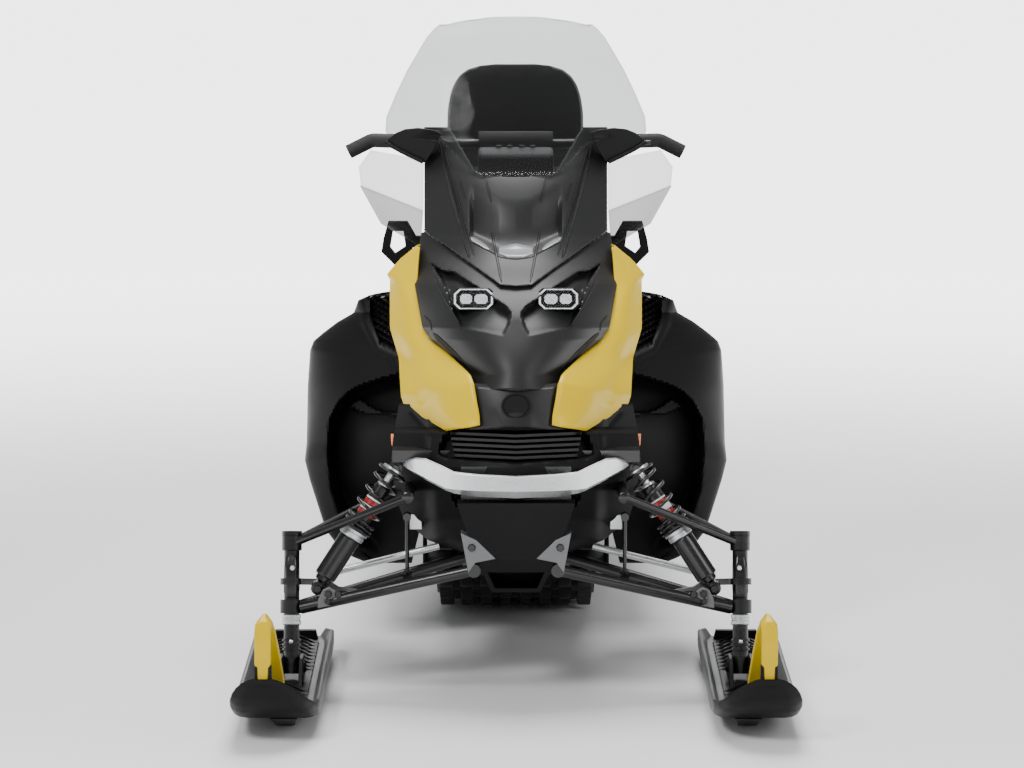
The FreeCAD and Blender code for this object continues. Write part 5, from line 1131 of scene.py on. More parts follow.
@dataclass
class SideBody:
    """Black bodywork of one side, a relief shell round the knee and foot."""

    side: Side
    rows: int = 130
    columns: int = 60
    flank: tuple[float, ...] = (30, 75, 130, 190)
    outer: Table = (
        (296, 664), (300, 673.5), (312.5, 678), (321.7, 694), (333, 709), (341, 718.2), (350, 721.7),
        (385, 724), (442, 725.1), (460, 727), (480, 722), (530, 706), (543, 696), (557, 679), (563, 664))
    inner: Table = (
        (296, 636), (340, 628), (358, 620), (400, 616), (430, 616), (460, 610), (510, 606), (530, 612),
        (563, 620))
    near: Table = ((296, 470), (340, 410), (358, 360), (400, 262), (440, 245), (480, 300), (563, 480))
    far: Table = (
        (296, 500), (312, 560), (333, 610), (350, 620), (400, 600), (460, 520), (480, 500), (530, 490),
        (563, 500))
    rim: Outline = ((673, 300), (666, 325), (654, 349), (638, 357), (633, 373))
    louvres: Outline = ((630, 290), (662, 296), (661, 316), (651, 344), (636, 351), (626, 350))
    hollow: Outline = (
        (612, 374.5), (634.4, 373.3), (651.6, 378), (674.6, 386), (686, 393.4), (694, 402), (703.3, 419),
        (706, 450), (703, 490), (690, 530), (672, 552), (650, 566), (612, 566))
    flap: Outline = (
        (682.6, 406.6), (672.3, 398.6), (657.4, 409), (645, 413), (620, 413), (620, 416), (665, 414))

    def relief(self, px: float, py: float) -> float:
        """How far the surface lies behind its smooth form, in millimetres."""
        spot = (px, py)
        deep = -6 * smooth_step(1.6 - reach_of(spot, self.rim) / 3)
        if holds(self.louvres, spot):
            wave = ((py + 0.55 * px) / 6.4) % 1
            deep += 12 + 14 * smooth_step(abs(wave - 0.5) * 4 - 0.5)
        if holds(self.hollow, spot):
            ramp = 3 + max(0, py - 396) * 0.12
            edge = reach_of(spot, self.hollow[:-2])
            deep += 85 * smooth_step(edge / ramp)
        if holds(self.flap, spot):
            deep -= 45
        return deep

    def build(self) -> None:
        """Make the shell and put it in its node's place."""
        points: list[Point] = []
        for row in range(self.rows + 1):
            py = 296 + (563 - 296) * row / self.rows
            out, = between(self.outer, py)
            inn, = between(self.inner, py)
            near, = eased(self.near, py)
            far, = eased(self.far, py)
            for column in range(self.columns + len(self.flank) + 1):
                share = min(1, column / self.columns)
                px = inn + (out - inn) * share
                bend = 0.5 * share + 0.5 * (1 - math.sqrt(max(0, 1 - share * share)))
                x, y, z = SIGHT.spot(px, py, near + (far - near) * bend + self.relief(px, py))
                past = column - self.columns
                if past > 0:
                    back = self.flank[past - 1]
                    x -= back * (0.08 + 0.0012 * back)
                    y += back
                    z -= back * 0.06 if py < 400 else 0
                points.append((x, y, z))
        set_piece("side_shell_" + self.side.word,
                  (flip(points, self.side), grid_faces(self.rows + 1, self.columns + len(self.flank) + 1)),
                  BODY_BLACK, "black_plastic", "side_body_" + self.side.word, angle=34, wall=4)
        lamp = [SIGHT.spot(px, py, 196)
                for px, py in ((641, 434), (637, 434.5), (631, 447), (636, 457), (640.5, 444))]
        set_piece("side_reflector_" + self.side.word, prism(flip(lamp, self.side), (0, 9, 0)), AMBER,
                  "lamp_lens", angle=25, edge=(1.5, 2))


@dataclass
class Chin:
    """Satin black chin with its two grilles, behind the bumper."""

    rows: int = 110
    columns: int = 96
    halves: Table = (
        (404, 117), (433, 122), (456, 125), (470, 124), (500, 119), (520, 112), (540, 88), (556, 44),
        (562, 40))
    depths: Table = (
        (404, 24), (427, 18), (433, -20), (456, -52), (467, -70), (490, -78), (508, -62), (518, -50),
        (540, -10), (562, 20))
    crown: float = 185
    upper: Outline = ((0, 430), (58, 427), (74, 436), (78, 455), (70, 459.5), (0, 464))
    lower: Outline = ((0, 499), (66, 493), (60, 508), (42, 511), (0, 516))

    def relief(self, across: float, py: float) -> float:
        """How far the surface lies behind its smooth form, in millimetres."""
        spot = (across, py)
        deep = 0
        for mouth, depth in ((self.upper, 34), (self.lower, 26)):
            if holds(mouth, spot):
                deep += depth * smooth_step(reach_of(spot, mouth) / 3)
        wing = reach_of(spot, ((104, 412), (84, 436), (86, 456)))
        deep += 5 * smooth_step(1 - wing / 2.4)
        deep += 9 * smooth_step((across - 86) / 6) * smooth_step((458 - py) / 8)
        deep += 22 * smooth_step((py - 456) / 8) * smooth_step((across - 78) / 14)
        return deep

    def spot(self, across: float, py: float, proud: float = 0) -> Point:
        """Point of the surface, or of one that lies before it."""
        half, = between(self.halves, py)
        depth, = between(self.depths, py)
        share = across / half
        deep = depth + self.crown * abs(share) ** 2 + self.relief(abs(across), py)
        return SIGHT.spot(SIGHT.centre_x + across, py, deep - proud)

    def bar(self, row: float, half: float, rise: float) -> Shape:
        """One thin V-shaped bar across a grille."""
        points: list[Point] = []
        count = 24
        for i in range(count + 1):
            across = half * (2 * i / count - 1)
            py = row - abs(across) * rise
            front = self.spot(across, py, 22)
            back = self.spot(across, py, 4)
            for up in (-3, 3):
                points.append((front[0], front[1], front[2] + up))
            for up in (4, -4):
                points.append((back[0], back[1], back[2] + up))
        faces = grid_faces(count + 1, 4, ring=True)
        faces += [(0, 1, 2, 3), tuple(range(4 * count + 3, 4 * count - 1, -1))]
        return points, faces

    def build(self) -> None:
        """Make the shell and its bars."""
        points: list[Point] = []
        for row in range(self.rows + 1):
            py = 404 + (562 - 404) * row / self.rows
            half, = between(self.halves, py)
            for column in range(-2, self.columns + 3):
                share = min(1, max(-1, 2 * column / self.columns - 1))
                x, y, z = self.spot(share * half, py)
                past = max(-column, column - self.columns, 0)
                points.append((x - math.copysign(12 * past, x), y + 60 * past, z))
        set_piece("chin_shell", (points, grid_faces(self.rows + 1, self.columns + 5)), BODY_BLACK,
                  "black_plastic", "nose_grille", angle=34, wall=4)
        bars = [self.bar(row, 66 - 0.2 * (row - 436), 0.045) for row in (436, 441.5, 447, 452.5, 458)]
        bars += [self.bar(row, 56, 0.04) for row in (502, 507, 512)]
        set_piece("chin_bars", joined(bars), HOOD_BLACK, "black_plastic", angle=30)


@dataclass
class Shock:
    """Shock absorber of one side with its coil spring, turned round one line."""

    side: Side
    low: Point = (437, -1082, 243)
    high: Point = (265, -1040, 505)
    can: Outline = ((16, 14), (18, 17.5), (27, 18), (28, 23), (31, 24.5), (128, 24.5), (131, 23), (131, 18))
    collar: Outline = (
        (132, 20), (132, 27), (134, 28.5), (143, 28.5), (144, 26), (146, 26), (146.5, 31.5), (151, 31.5),
        (151.5, 20))
    barrel: Outline = ((150, 19), (262, 19), (266, 17), (270, 12))
    bands: tuple[tuple[float, float, bool], ...] = (
        (190, 200, True), (202, 214, False), (216, 226, True), (228, 232, False))
    wire: float = 4

    def build(self) -> None:
        """Make the can, collar, barrel, rod, eyes and coil."""
        word = self.side.word
        low, high = flip([self.low, self.high], self.side)
        set_piece("shock_can_" + word, turned(low, high, self.can, 36), STEEL, "bare_aluminium",
                  "shock_" + word, angle=25)
        set_piece("shock_collar_" + word, turned(low, high, self.collar, 36), BARE, "bare_aluminium",
                  angle=25)
        set_piece("shock_barrel_" + word, turned(low, high, self.barrel, 32), STEEL, "bare_aluminium",
                  angle=25)
        for red, finish in ((True, RED), (False, WHITE)):
            rings = [turned(low, high, ((a, 19.2), (a, 19.7), (b, 19.7), (b, 19.2)), 32)
                     for a, b, is_red in self.bands if is_red is red]
            set_piece("shock_bands_" + finish.name[5:] + "_" + word, joined(rings), finish, "bare_aluminium",
                      angle=25)
        rod = [turned(low, high, ((266, 8), (318, 8))),
               turned(low, high, ((262, 15), (264, 16), (270, 16), (272, 13)), 24),
               turned(low, high, ((306, 16), (307, 26), (311, 26), (312, 16)), 30)]
        set_piece("shock_rod_" + word, joined(rod), SILVER, "bare_aluminium", angle=25)
        eyes = []
        for x, y, z in (low, high):
            eyes.append(turned((x, y - 14, z), (x, y, z), ((0, 11), (1.5, 15), (26.5, 15), (28, 11))))
            eyes.append(turned((x, y - 21, z), (x, y, z), ((0, 8), (2, 9), (6, 9)), 6))
            eyes.append(turned((x, y - 18, z), (x, y, z), ((0, 6), (36, 6))))
        set_piece("shock_eyes_" + word, joined(eyes), STEEL, "black_steel", angle=25)
        self.coil(low, high)

    def coil(self, low: Point, high: Point) -> None:
        """Wind the spring: two tight turns at the collar, then open ones."""
        start = Vector(low)
        along = (Vector(high) - start).normalized()
        across = along.orthogonal().normalized()
        other = along.cross(across)
        pitch = ((0, 156), (0.5, 156.5), (2.5, 178), (6.2, 302), (6.9, 304))
        path: list[Point] = []
        for i in range(int(6.9 * 30) + 1):
            turns = i / 30
            place = start + along * between(pitch, turns)[0]
            turn = math.tau * turns * self.side.value
            path.append(tuple(place + (across * math.cos(turn) + other * math.sin(turn)) * 31.5))
        set_piece("coil_" + self.side.word, tube(path, self.wire, 10), STEEL, "black_steel",
                  "spring_" + self.side.word, angle=60)


@dataclass
class Ski:
    """Ski of one side: ribbed grey body, black nose cap, keel, saddle and bolt."""

    side: Side
    deck: float = 14
    body: Table = (
        (-1510, 508, 84, 62, 80), (-1485, 508, 90, 50, 76), (-1455, 508, 92, 37, 74),
        (-1410, 508, 92, 28, 72), (-1350, 508, 92, 24, 70), (-1100, 508, 91, 24, 70),
        (-760, 508, 91, 24, 68), (-690, 508, 89, 25, 66), (-654, 508, 74, 29, 62))
    cap: Table = (
        (-1609, 529, 16, 147, 155), (-1606, 529, 32, 140, 150.5), (-1599, 528, 48, 130, 142),
        (-1589, 526, 61, 118, 131), (-1575, 523, 73, 101, 117), (-1555, 519, 82.5, 82, 101),
        (-1525, 514, 89, 62, 88), (-1490, 511, 92, 48, 80), (-1455, 510, 92.5, 35, 76))

    def ring(self, station: tuple[float, ...], scoop: bool) -> list[Point]:
        """One closed section: sole, rolled edges and the trough or scoop between them."""
        y, line, half, sole, top = station
        floor = top - 4 if scoop else sole + self.deck
        shares = ((0, sole), (0.66, sole), (0.84, sole + 2.5), (0.95, sole + 8), (1, sole + 15), (1, top - 4),
                  (0.985, top - 1), (0.95, top), (0.91, top - 1), (0.87, top - 5), (0.76, floor + 1.5),
                  (0.7, floor), (0, floor))
        if sole + 15 > top - 4:
            middle = (sole + top) / 2
            shares = tuple((x, min(z, middle) if index < 5 else max(z, middle))
                           for index, (x, z) in enumerate(shares))
        right = [(line + half * x, y, z) for x, z in shares]
        left = [(line - half * x, y, z) for x, z in shares[-2:0:-1]]
        return right + left

    def hull(self, stations: Sequence[tuple[float, ...]], scoop: bool) -> Shape:
        """Closed shape through sections, with steps between them."""
        fine: list[tuple[float, ...]] = []
        for low, high in zip(stations, stations[1:]):
            fine += [tuple(a + (b - a) * k / 3 for a, b in zip(low, high)) for k in range(3)]
        fine.append(stations[-1])
        rings = [self.ring(station, scoop) for station in fine]
        points = [p for ring in rings for p in ring]
        count = len(rings[0])
        faces = grid_faces(len(rings), count, ring=True)
        faces += [tuple(range(count)), tuple(range(len(points) - 1, len(points) - count - 1, -1))]
        return points, faces

    def place(self, name: str, shape: Shape, finish: Finish, angle: float = 30,
              width: float = 0, *nodes: str) -> None:
        """Make one piece of the ski on its side and put it on the runner."""
        points, faces = shape
        piece = new_piece(name + "_" + self.side.word, flip(points, self.side), faces, finish, angle)
        if width:
            soften(piece, width, 2)
        settle(piece, "runner_" + self.side.word, "grey_plastic", *nodes)

    def build(self) -> None:
        """Make the ski's pieces."""
        word = self.side.word
        self.place("ski_body", self.hull(self.body, False), SKI_GREY, 28, 0, "ski_" + word)
        floor = prism([(x, -1440, 40) for x in (452, 564)] + [(x, -700, 41) for x in (562, 454)], (0, 0, 3))
        self.place("ski_floor", floor, SKI_BLACK, 30)
        self.place("ski_cap", self.hull(self.cap, True), SKI_BLACK, 40)
        keel = [(-1430, 26, 29, 24), (-1385, 2, 29, 20), (-1300, 0, 26, 17), (-760, 0, 22, 14),
                (-690, 26, 22, 18)]
        points: list[Point] = []
        for y, z, wide, narrow in keel:
            points += [(495 - wide, y, 27), (495 + wide, y, 27), (495 + narrow, y, z), (495 - narrow, y, z)]
        faces = grid_faces(len(keel), 4, ring=True) + [(0, 1, 2, 3), (19, 18, 17, 16)]
        self.place("ski_keel", (points, faces), SKI_GREY, 30, 2)
        cheeks = []
        for x in (468, 514):
            outline = [(x, y, z) for y, z in ((-1188, 34), (-1032, 34), (-1060, 74), (-1084, 94), (-1136, 94),
                                              (-1160, 74))]
            cheeks.append(prism(outline, (9, 0, 0)))
        cheeks.append(turned((462, -1110, 69), (470, -1110, 69), ((0, 10), (3, 12), (7, 12)), 6))
        cheeks.append(turned((522, -1110, 69), (530, -1110, 69), ((0, 12), (6, 12), (8, 10)), 6))
        self.place("ski_saddle", joined(cheeks), SKI_BLACK, 30, 1.5)
        spine = [block((508, -1270, 42), (9, 75, 6), 0.7), block((508, -860, 42), (9, 160, 6), 0.7),
                 block((508, -678, 52), (52, 10, 11), 0.9)]
        self.place("ski_spine", joined(spine), SKI_BLACK, 30, 1.5)
        bar = joined([prism([(-56, -20, -2), (-50, -24, -2), (0, 4, 14), (0, 12, 14)], (0, 0, 4)),
                      prism([(56, -20, -2), (0, 12, 14), (0, 4, 14), (50, -24, -2)], (0, 0, 4))])
        lines = [flip([(508, -1395, 42), (508, -1215, 42)], self.side),
                 flip([(508, -1000, 42), (508, -710, 42)], self.side)]
        for number, (line, count) in enumerate(zip(lines, (6, 9))):
            ribs = row_of(f"ski_ribs_{number}_{word}", [line], bar, count, SKI_BLACK)
            settle(ribs, "runner_" + word, "grey_plastic")
        self.loop()

    def loop(self) -> None:
        """Yellow handle loop: upright front leg, pointed top, slanting rear leg, black fork."""
        stations = ((529, -1590, 132, 11.5, 0), (529, -1590, 174, 11.5, 0), (529, -1590, 182, 17, 0),
                    (529, -1589, 246, 17, 0), (528, -1582, 262, 17, 0.55), (527, -1566, 269, 16, 1),
                    (526, -1538, 264, 15, 1), (522, -1500, 232, 15, 0.6), (517, -1450, 176, 15, 0.2),
                    (511, -1398, 104, 15, 0), (508, -1364, 46, 16, 0), (508, -1356, 34, 16, 0))
        points: list[Point] = []
        for index, (x, y, z, half, peak) in enumerate(stations):
            _, ay, az, _, _ = stations[max(0, index - 1)]
            _, by, bz, _, _ = stations[min(len(stations) - 1, index + 1)]
            run = math.hypot(by - ay, bz - az)
            out_y, out_z = -(bz - az) / run, (by - ay) / run
            thick = 10
            point = half - (half - 2) * peak
            for across, out in ((-half, -thick), (half, -thick), (half, thick * (1 - 1.2 * peak)),
                                (point, thick + 5 * peak), (-point, thick + 5 * peak),
                                (-half, thick * (1 - 1.2 * peak))):
                points.append((x + across, y + out_y * out, z + out_z * out))
        count = len(stations)
        faces = grid_faces(count, 6, ring=True)
        faces += [tuple(range(6)), tuple(range(6 * count - 1, 6 * count - 7, -1))]
        set_piece("loop_bow_" + self.side.word, (flip(points, self.side), faces), YELLOW, "yellow_plastic",
                  "ski_loop_" + self.side.word, body="runner_" + self.side.word, angle=30, edge=(1.6, 2, 25))
        prongs = [block((528 + way * 14.6, -1591, 156), (3.4, 12, 22), 0.8) for way in (-1, 1)]
        prongs.append(block((528, -1584, 142), (18, 20, 9), 0.9))
        self.place("loop_fork", joined(prongs), SKI_BLACK, 30, 1.2)


@dataclass
class FrontLinks:
    """Forged upright, collars, bolts and brackets of one side's front suspension."""

    side: Side
    foot: Point = (495, -1110, 69)
    lean: float = 0.2126

    def pin(self, z: float) -> Point:
        """Point of the steering pin's line at a height."""
        return self.foot[0], self.foot[1] + self.lean * (z - self.foot[2]), z

    def upright(self) -> None:
        """Forging round the pin with its chrome collar and bolt heads."""
        word = self.side.word
        rings = ((222, 15, 20), (236, 17.5, 24), (290, 16.5, 24), (308, 14, 20), (318, 10, 15))
        points: list[Point] = []
        for z, half, deep in rings:
            x, y, _ = self.pin(z)
            points += [(x + half * a, y + deep * b, z)
                       for a, b in ((-1, -0.6), (-0.6, -1), (0.6, -1), (1, -0.6), (1, 0.6), (0.6, 1),
                                    (-0.6, 1), (-1, 0.6))]
        faces = grid_faces(len(rings), 8, ring=True) + [tuple(range(8)), tuple(range(39, 31, -1))]
        set_piece("upright_" + word, (flip(points, self.side), faces), STEEL, "black_steel",
                  body="knuckle_" + word, angle=30, edge=(2, 2, 25))
        start, end = flip([self.pin(60), self.pin(200)], self.side)
        bands = [turned(start, end, ((at, 17), (at + 1, 20.5), (at + 5, 20.5), (at + 6, 17)), 32)
                 for at in (46, 56, 66)]
        set_piece("pin_bands_" + word, joined(bands), STEEL, "black_steel", body="knuckle_" + word, angle=25)
        x, y, z = self.pin(288)
        bolt = turned((x - 3, y - 30, z), (x - 3, y, z), ((0, 4.5), (1.5, 6), (8, 6)), 6)
        collar = turned(self.pin(160), self.pin(184), ((0, 18), (2, 21), (9, 21), (11, 18.5), (14, 18.5),
                                                       (16, 20.5), (22, 20.5), (24, 18)), 32)
        low = self.pin(128)
        pinch = turned((low[0], low[1] - 22, low[2]), low, ((0, 3), (1, 4.5), (5, 4.5)), 12)
        set_piece("upright_bright_" + word, mirror(joined([bolt, collar, pinch]), self.side), SILVER,
                  "black_steel", body="knuckle_" + word, angle=25)

    def arm(self) -> None:
        """Upper arm: eye round the pin, front leg before the shock, rear leg and inner sleeve."""
        x, y, z = self.pin(338)
        shapes = [turned(self.pin(320), self.pin(356), ((0, 19), (2, 22), (33, 22), (36, 19)), 28)]
        for way, inner in ((-1, -1150), (1, -950)):
            shapes.append(tube([(x - 12, y + way * 10, z + 4), (x - 34, y + way * 16, z + 14),
                                (238, inner, 456)], 9.5, 14))
        shapes.append(turned((236, -1162, 457), (236, -938, 457), ((0, 10), (2, 13), (222, 13), (224, 10)),
                             20))
        set_piece("upper_link_" + self.side.word, mirror(joined(shapes), self.side), STEEL, "black_steel",
                  "upper_arm_" + self.side.word, angle=35)

    def plates(self) -> None:
        """Light grey plates at the lower arm's outer and inner ends."""
        word = self.side.word
        shapes = []
        for y in (-1124, -1058):
            outline = [(414 + dx, y, z) for dx, z in (
                (22, 204), (20, 226), (10, 246), (-4, 252), (-22, 240), (-62, 234), (-66, 222))]
            shapes.append(prism(outline, (0, 5, 0)))
        inner = [(x, -1208, z) for x, z in ((120, 388), (86, 372), (44, 331), (88, 322), (104, 300))]
        shapes.append(prism(inner, (0, 46, 0)))
        set_piece("arm_plates_" + word, mirror(joined(shapes), self.side), LIGHT_GREY, "brushed_silver",
                  angle=30, edge=(1.2, 2))
        heads = []
        for x, y, z in ((412, -1133, 237), (390, -1130, 236), (96, -1213, 356)):
            heads.append(turned((x, y, z), (x, y + 10, z), ((0, 7), (2, 9), (9, 9)), 6))
        set_piece("arm_bolts_" + word, mirror(joined(heads), self.side), STEEL, "black_steel", angle=25)

    def sway(self) -> None:
        """Upright link between the two arms, its block and its wing nut."""
        word = self.side.word
        rod = [turned((240, -1060, 400), (240, -1072, 262), ((0, 4.5), (138.5, 4.5)), 14),
               turned((240, -1074, 398), (240, -1048, 398), ((0, 9), (26, 9)), 20),
               turned((240, -1088, 264), (240, -1058, 264), ((0, 9), (30, 9)), 20)]
        for turn in range(5):
            angle = math.tau * turn / 5
            rod.append(block((240 + 9 * math.cos(angle), -1084, 272 + 9 * math.sin(angle)), (4, 5, 4)))
        set_piece("sway_link_" + word, mirror(joined(rod), self.side), STEEL, "black_steel", angle=30)
        set_piece("sway_block_" + word, mirror(block((222, -984, 373), (14, 11, 17), 0.9), self.side), BARE,
                  "brushed_silver", angle=30, edge=(2, 2))

    def build(self) -> None:
        """Make the pieces of this side."""
        self.upright()
        self.arm()
        self.plates()
        self.sway()


@dataclass
class Track:
    """Rubber belt on its path with rows of cleats, clips and drive teeth."""

    circles: tuple[tuple[float, float, float], ...] = (
        (-60, 325, 290), (1285, 133, 98), (520, 330, 62), (-470, 362, 88))
    half: float = 190
    rows: int = 57
    high: float = 31

    def path(self) -> list[Spot]:
        """Tight loop round the circles, as side-view points."""
        runs = []
        for index, (y0, z0, r0) in enumerate(self.circles):
            y1, z1, r1 = self.circles[(index + 1) % len(self.circles)]
            length = math.hypot(y1 - y0, z1 - z0)
            ay, az = (y1 - y0) / length, (z1 - z0) / length
            slope = (r0 - r1) / length
            rest = math.sqrt(1 - slope * slope)
            runs.append(math.atan2(az * slope - ay * rest, ay * slope + az * rest))
        out: list[Spot] = []
        for index, turn in enumerate(runs):
            y, z, radius = self.circles[(index + 1) % len(self.circles)]
            sweep = (runs[(index + 1) % len(runs)] - turn) % math.tau
            steps = max(4, int(sweep * radius / 14))
            out += [(y + radius * math.cos(turn + sweep * k / steps),
                     z + radius * math.sin(turn + sweep * k / steps)) for k in range(steps + 1)]
        return out[::-1]

    def cleat(self) -> Shape:
        """One row of blocks: tall ones with webs, and low ones half a pitch on."""
        shapes = []
        for x, wide in ((-166, 20), (-118, 17), (-70, 17), (-24, 15), (24, 15), (70, 17), (118, 17),
                        (166, 20)):
            shapes.append(block((x, 0, self.high / 2), (wide, 8.5, self.high / 2 + 2), 0.78))
        for x in (-142, -94, 94, 142):
            shapes.append(block((x, 0, 8), (12, 4, 9), 0.9))
        for x, wide in ((-144, 13), (-95, 11), (-47, 12), (0, 12), (47, 12), (95, 11), (144, 13)):
            shapes.append(block((x, 32, 9), (wide, 6, 10), 0.8))
        return joined(shapes)

    def build(self) -> None:
        """Make the belt and repeat the cleats and teeth round it."""
        path = self.path()
        points: list[Point] = []
        for y, z in path + path[:1]:
            points += [(self.half * (k / 8 - 1), y, z) for k in range(17)]
        belt = new_piece("belt_band", points, grid_faces(len(path) + 1, 17), TRACK_RUBBER, 60)
        thicken(belt, 6, 0)
        settle(belt, CHASSIS, "track_rubber", "track")
        line = [(0, y, z) for y, z in path]
        cleats = row_of("belt_cleats", [line], self.cleat(), self.rows, TRACK_RUBBER, closed=True)
        soften(cleats, 1.6, 1, 50)
        settle(cleats, CHASSIS, "track_rubber")
        teeth = joined([block((x, 0, -9), (9, 10, 7), 1) for x in (-96, -32, 32, 96)])
        inside = row_of("belt_teeth", [line], teeth, self.rows, TRACK_RUBBER, closed=True)
        settle(inside, CHASSIS, "track_rubber")
        clips = joined([block((x, 0, 2.5), (13, 14, 2), 0.9) for x in (-72, 72)])
        steel = row_of("belt_clips", [line], clips, self.rows, BARE, closed=True)
        settle(steel, CHASSIS, "bare_aluminium")


@dataclass
class Fastenings:
    """Rows of rivets and grip teeth, repeated along lines."""

    def build(self) -> None:
        """Make the rows on the tunnel and the boards."""
        side_dome = [turned((-2 * way, 0, 0), (way, 0, 0), ((0, 4), (2.5, 4), (3.8, 2.6), (4.2, 0.8)), 10)
                     for way in (1, -1)]
        for side in Side:
            way = side.value
            shape = side_dome[0] if way > 0 else side_dome[1]
            lines = [[(way * 209.5, -280, z), (way * 209.5, long, z)]
                     for z, long in ((545, 1480), (372, 1120))]
            rivets = row_of("tunnel_rivets_" + side.word, lines, shape, 26, CAST)
            settle(rivets, CHASSIS, "bare_aluminium")
            cone = turned((0, 0, -1), (0, 0, 1), ((0, 8), (5, 6), (5.5, 4.5), (2, 4)), 10)
            lines = [[(way * x, -280, 352), (way * x, 1160, 352)] for x in (236, 270, 304, 338)]
            teeth = row_of("board_teeth_" + side.word, lines, cone, 36, STEEL)
            settle(teeth, CHASSIS, "black_steel")


@dataclass
class Dash:
    """Instrument housing with its dark dial glass and buttons."""

    half: float = 88
    profile: Outline = (
        (-450, 1052), (-450, 1102), (-432, 1138), (-360, 1150), (-344, 1146), (-338, 1130), (-362, 1052))

    def build(self) -> None:
        """Make the housing, glass and buttons."""
        set_piece("dial_housing", prism([(-self.half, y, z) for y, z in self.profile], (2 * self.half, 0, 0)),
                  BODY_BLACK, "black_plastic", "gauge_pod", angle=30, edge=(9, 3))
        slope = Vector((0, 78, 24)).normalized()
        corners = [(x, -362 + 0.3077 * t, 1052 + t) for x, t in ((-72, 8), (72, 8), (72, 66), (-72, 66))]
        set_piece("dial_glass", prism(corners, tuple(slope * 2)), GLASS_BLACK, "black_plastic", angle=30,
                  edge=(1.2, 2))
        knobs = [turned((x, -352, 1140), (x, -352, 1150), ((0, 8), (12, 8), (14, 6)), 16)
                 for x in (-40, -14, 14, 40)]
        set_piece("dial_buttons", joined(knobs), RUBBER, "black_rubber", angle=30)


@dataclass
class Tank:
    """Fuel tank shell between the dash and the seat, with its filler cap."""

    sections: Table = (
        (118, 800, -478), (150, 846, -450), (166, 876, -400), (173, 894, -320), (171, 880, -240),
        (164, 840, -190), (154, 786, -150), (146, 740, -122))

    def build(self) -> None:
        """Loft the shell, add its side channels and the cap."""
        points: list[Point] = []
        shares = ((1, 0), (1, 0.35), (0.94, 0.4), (0.94, 0.48), (0.99, 0.54), (0.95, 0.72), (0.8, 0.88),
                  (0.6, 0.965), (0.3, 0.99), (0, 1))
        for half, top, y in self.sections:
            right = [(half * a, y, 566 + (top - 566) * b) for a, b in shares]
            points += right + [(-x, y, z) for x, y, z in right[-2::-1]]
        count = 2 * len(shares) - 1
        faces = grid_faces(len(self.sections), count, ring=True)
        faces += [tuple(range(count)), tuple(range(len(points) - 1, len(points) - count - 1, -1))]
        set_piece("tank_shell", (points, faces), HOOD_BLACK, "black_plastic", "fuel_tank", angle=28,
                  edge=(6, 3, 26))
        cap = [turned((0, -345, 884), (0, -345, 900), ((0, 46), (8, 46), (11, 43)), 40),
               turned((0, -345, 884), (0, -345, 900), ((8, 34), (20, 33), (23, 29)), 12)]
        set_piece("tank_cap", joined(cap), RUBBER, "black_rubber", angle=25, edge=(1.2, 2))


@dataclass
class Cushion:
    """Padded seat or backrest, swollen by a cloth run."""

    name: str
    node: str
    sections: Table
    upright: bool = False
    cap: float = 0.024
    corner: float = 0.28

    def ring(self, half: float, low: float, high: float, place: float, dish: float) -> list[Point]:
        """One closed section, rounded at its shoulders."""
        count = 32
        out: list[Point] = []
        for i in range(count):
            turn = math.tau * i / count
            c, s = math.cos(turn), math.sin(turn)
            x = half * math.copysign(abs(c) ** self.corner, c)
            share = math.copysign(abs(s) ** self.corner, s)
            z = (low + high) / 2 + (high - low) / 2 * share
            if s > 0:
                z -= dish * (1 - (x / half) ** 2)
            out.append((x, z, place) if self.upright else (x, place, z))
        return out

    def build(self) -> None:
        """Loft the sections, swell them and put the pad in its node's place."""
        rings = [self.ring(*section) for section in self.sections]
        points = [p for ring in rings for p in ring]
        count = len(rings[0])
        faces = grid_faces(len(rings), count, ring=True)
        faces += [tuple(range(count)), tuple(range(len(points) - 1, len(points) - count - 1, -1))]
        pad = new_piece(self.name, points, faces, SEAT, 50)
        swell(pad, self.cap)
        settle(pad, CHASSIS, "seat_cover", self.node)
        self.piping(pad)

    def piping(self, pad: bpy.types.Object) -> None:
        """Sewn welt round the pad's shoulders, laid on its swollen surface."""
        tubes = []
        for way in (-1, 1):
            path: list[Point] = []
            for half, low, high, place, _ in self.sections[1:-1]:
                guess = (way * half, low, place) if self.upright else (way * half, place, high)
                found, spot, _, _ = pad.closest_point_on_mesh(Vector(guess) * MM)
                if found:
                    path.append(tuple(spot / MM))
            path = rounded_path(path, 8)
            laid = [tuple(pad.closest_point_on_mesh(Vector(p) * MM)[1] / MM) for p in path]
            tubes.append(tube(laid, 3.2, 8))
        set_piece(self.name + "_welt", joined(tubes), PIPING, "seat_cover", angle=60)


def swell(pad: bpy.types.Object, cap: float) -> None:
    """Remesh a pad and blow it up a little with a cloth run.

    Args:
        pad: The pad's object.
        cap: Most that a point may move, in metres.
    """
    scene = bpy.context.scene
    remesh = pad.modifiers.new("even", "REMESH")
    remesh.mode = "VOXEL"
    remesh.voxel_size = 0.008
    bake(pad)
    start = [v.co.copy() for v in pad.data.vertices]
    cloth = pad.modifiers.new("fill", "CLOTH")
    cloth.settings.use_pressure = True
    cloth.settings.uniform_pressure_force = 4
    cloth.settings.effector_weights.gravity = 0
    cloth.settings.quality = 5
    for number in range(1, 21):
        scene.frame_set(number)
    bake(pad)
    for vertex, before in zip(pad.data.vertices, start):
        move = vertex.co - before
        if move.length > cap:
            vertex.co = before + move * (cap / move.length)
    scene.frame_set(1)
    for face in pad.data.polygons:
        face.use_smooth = True
    LOG.info("%s swollen, %d points", pad.name, len(start))


def bake(piece: bpy.types.Object) -> None:
    """Turn a piece's evaluated form into its plain mesh."""
    graph = bpy.context.evaluated_depsgraph_get()
    graph.update()
    made = bpy.data.meshes.new_from_object(piece.evaluated_get(graph))
    piece.modifiers.clear()
    piece.data = made


# Setting


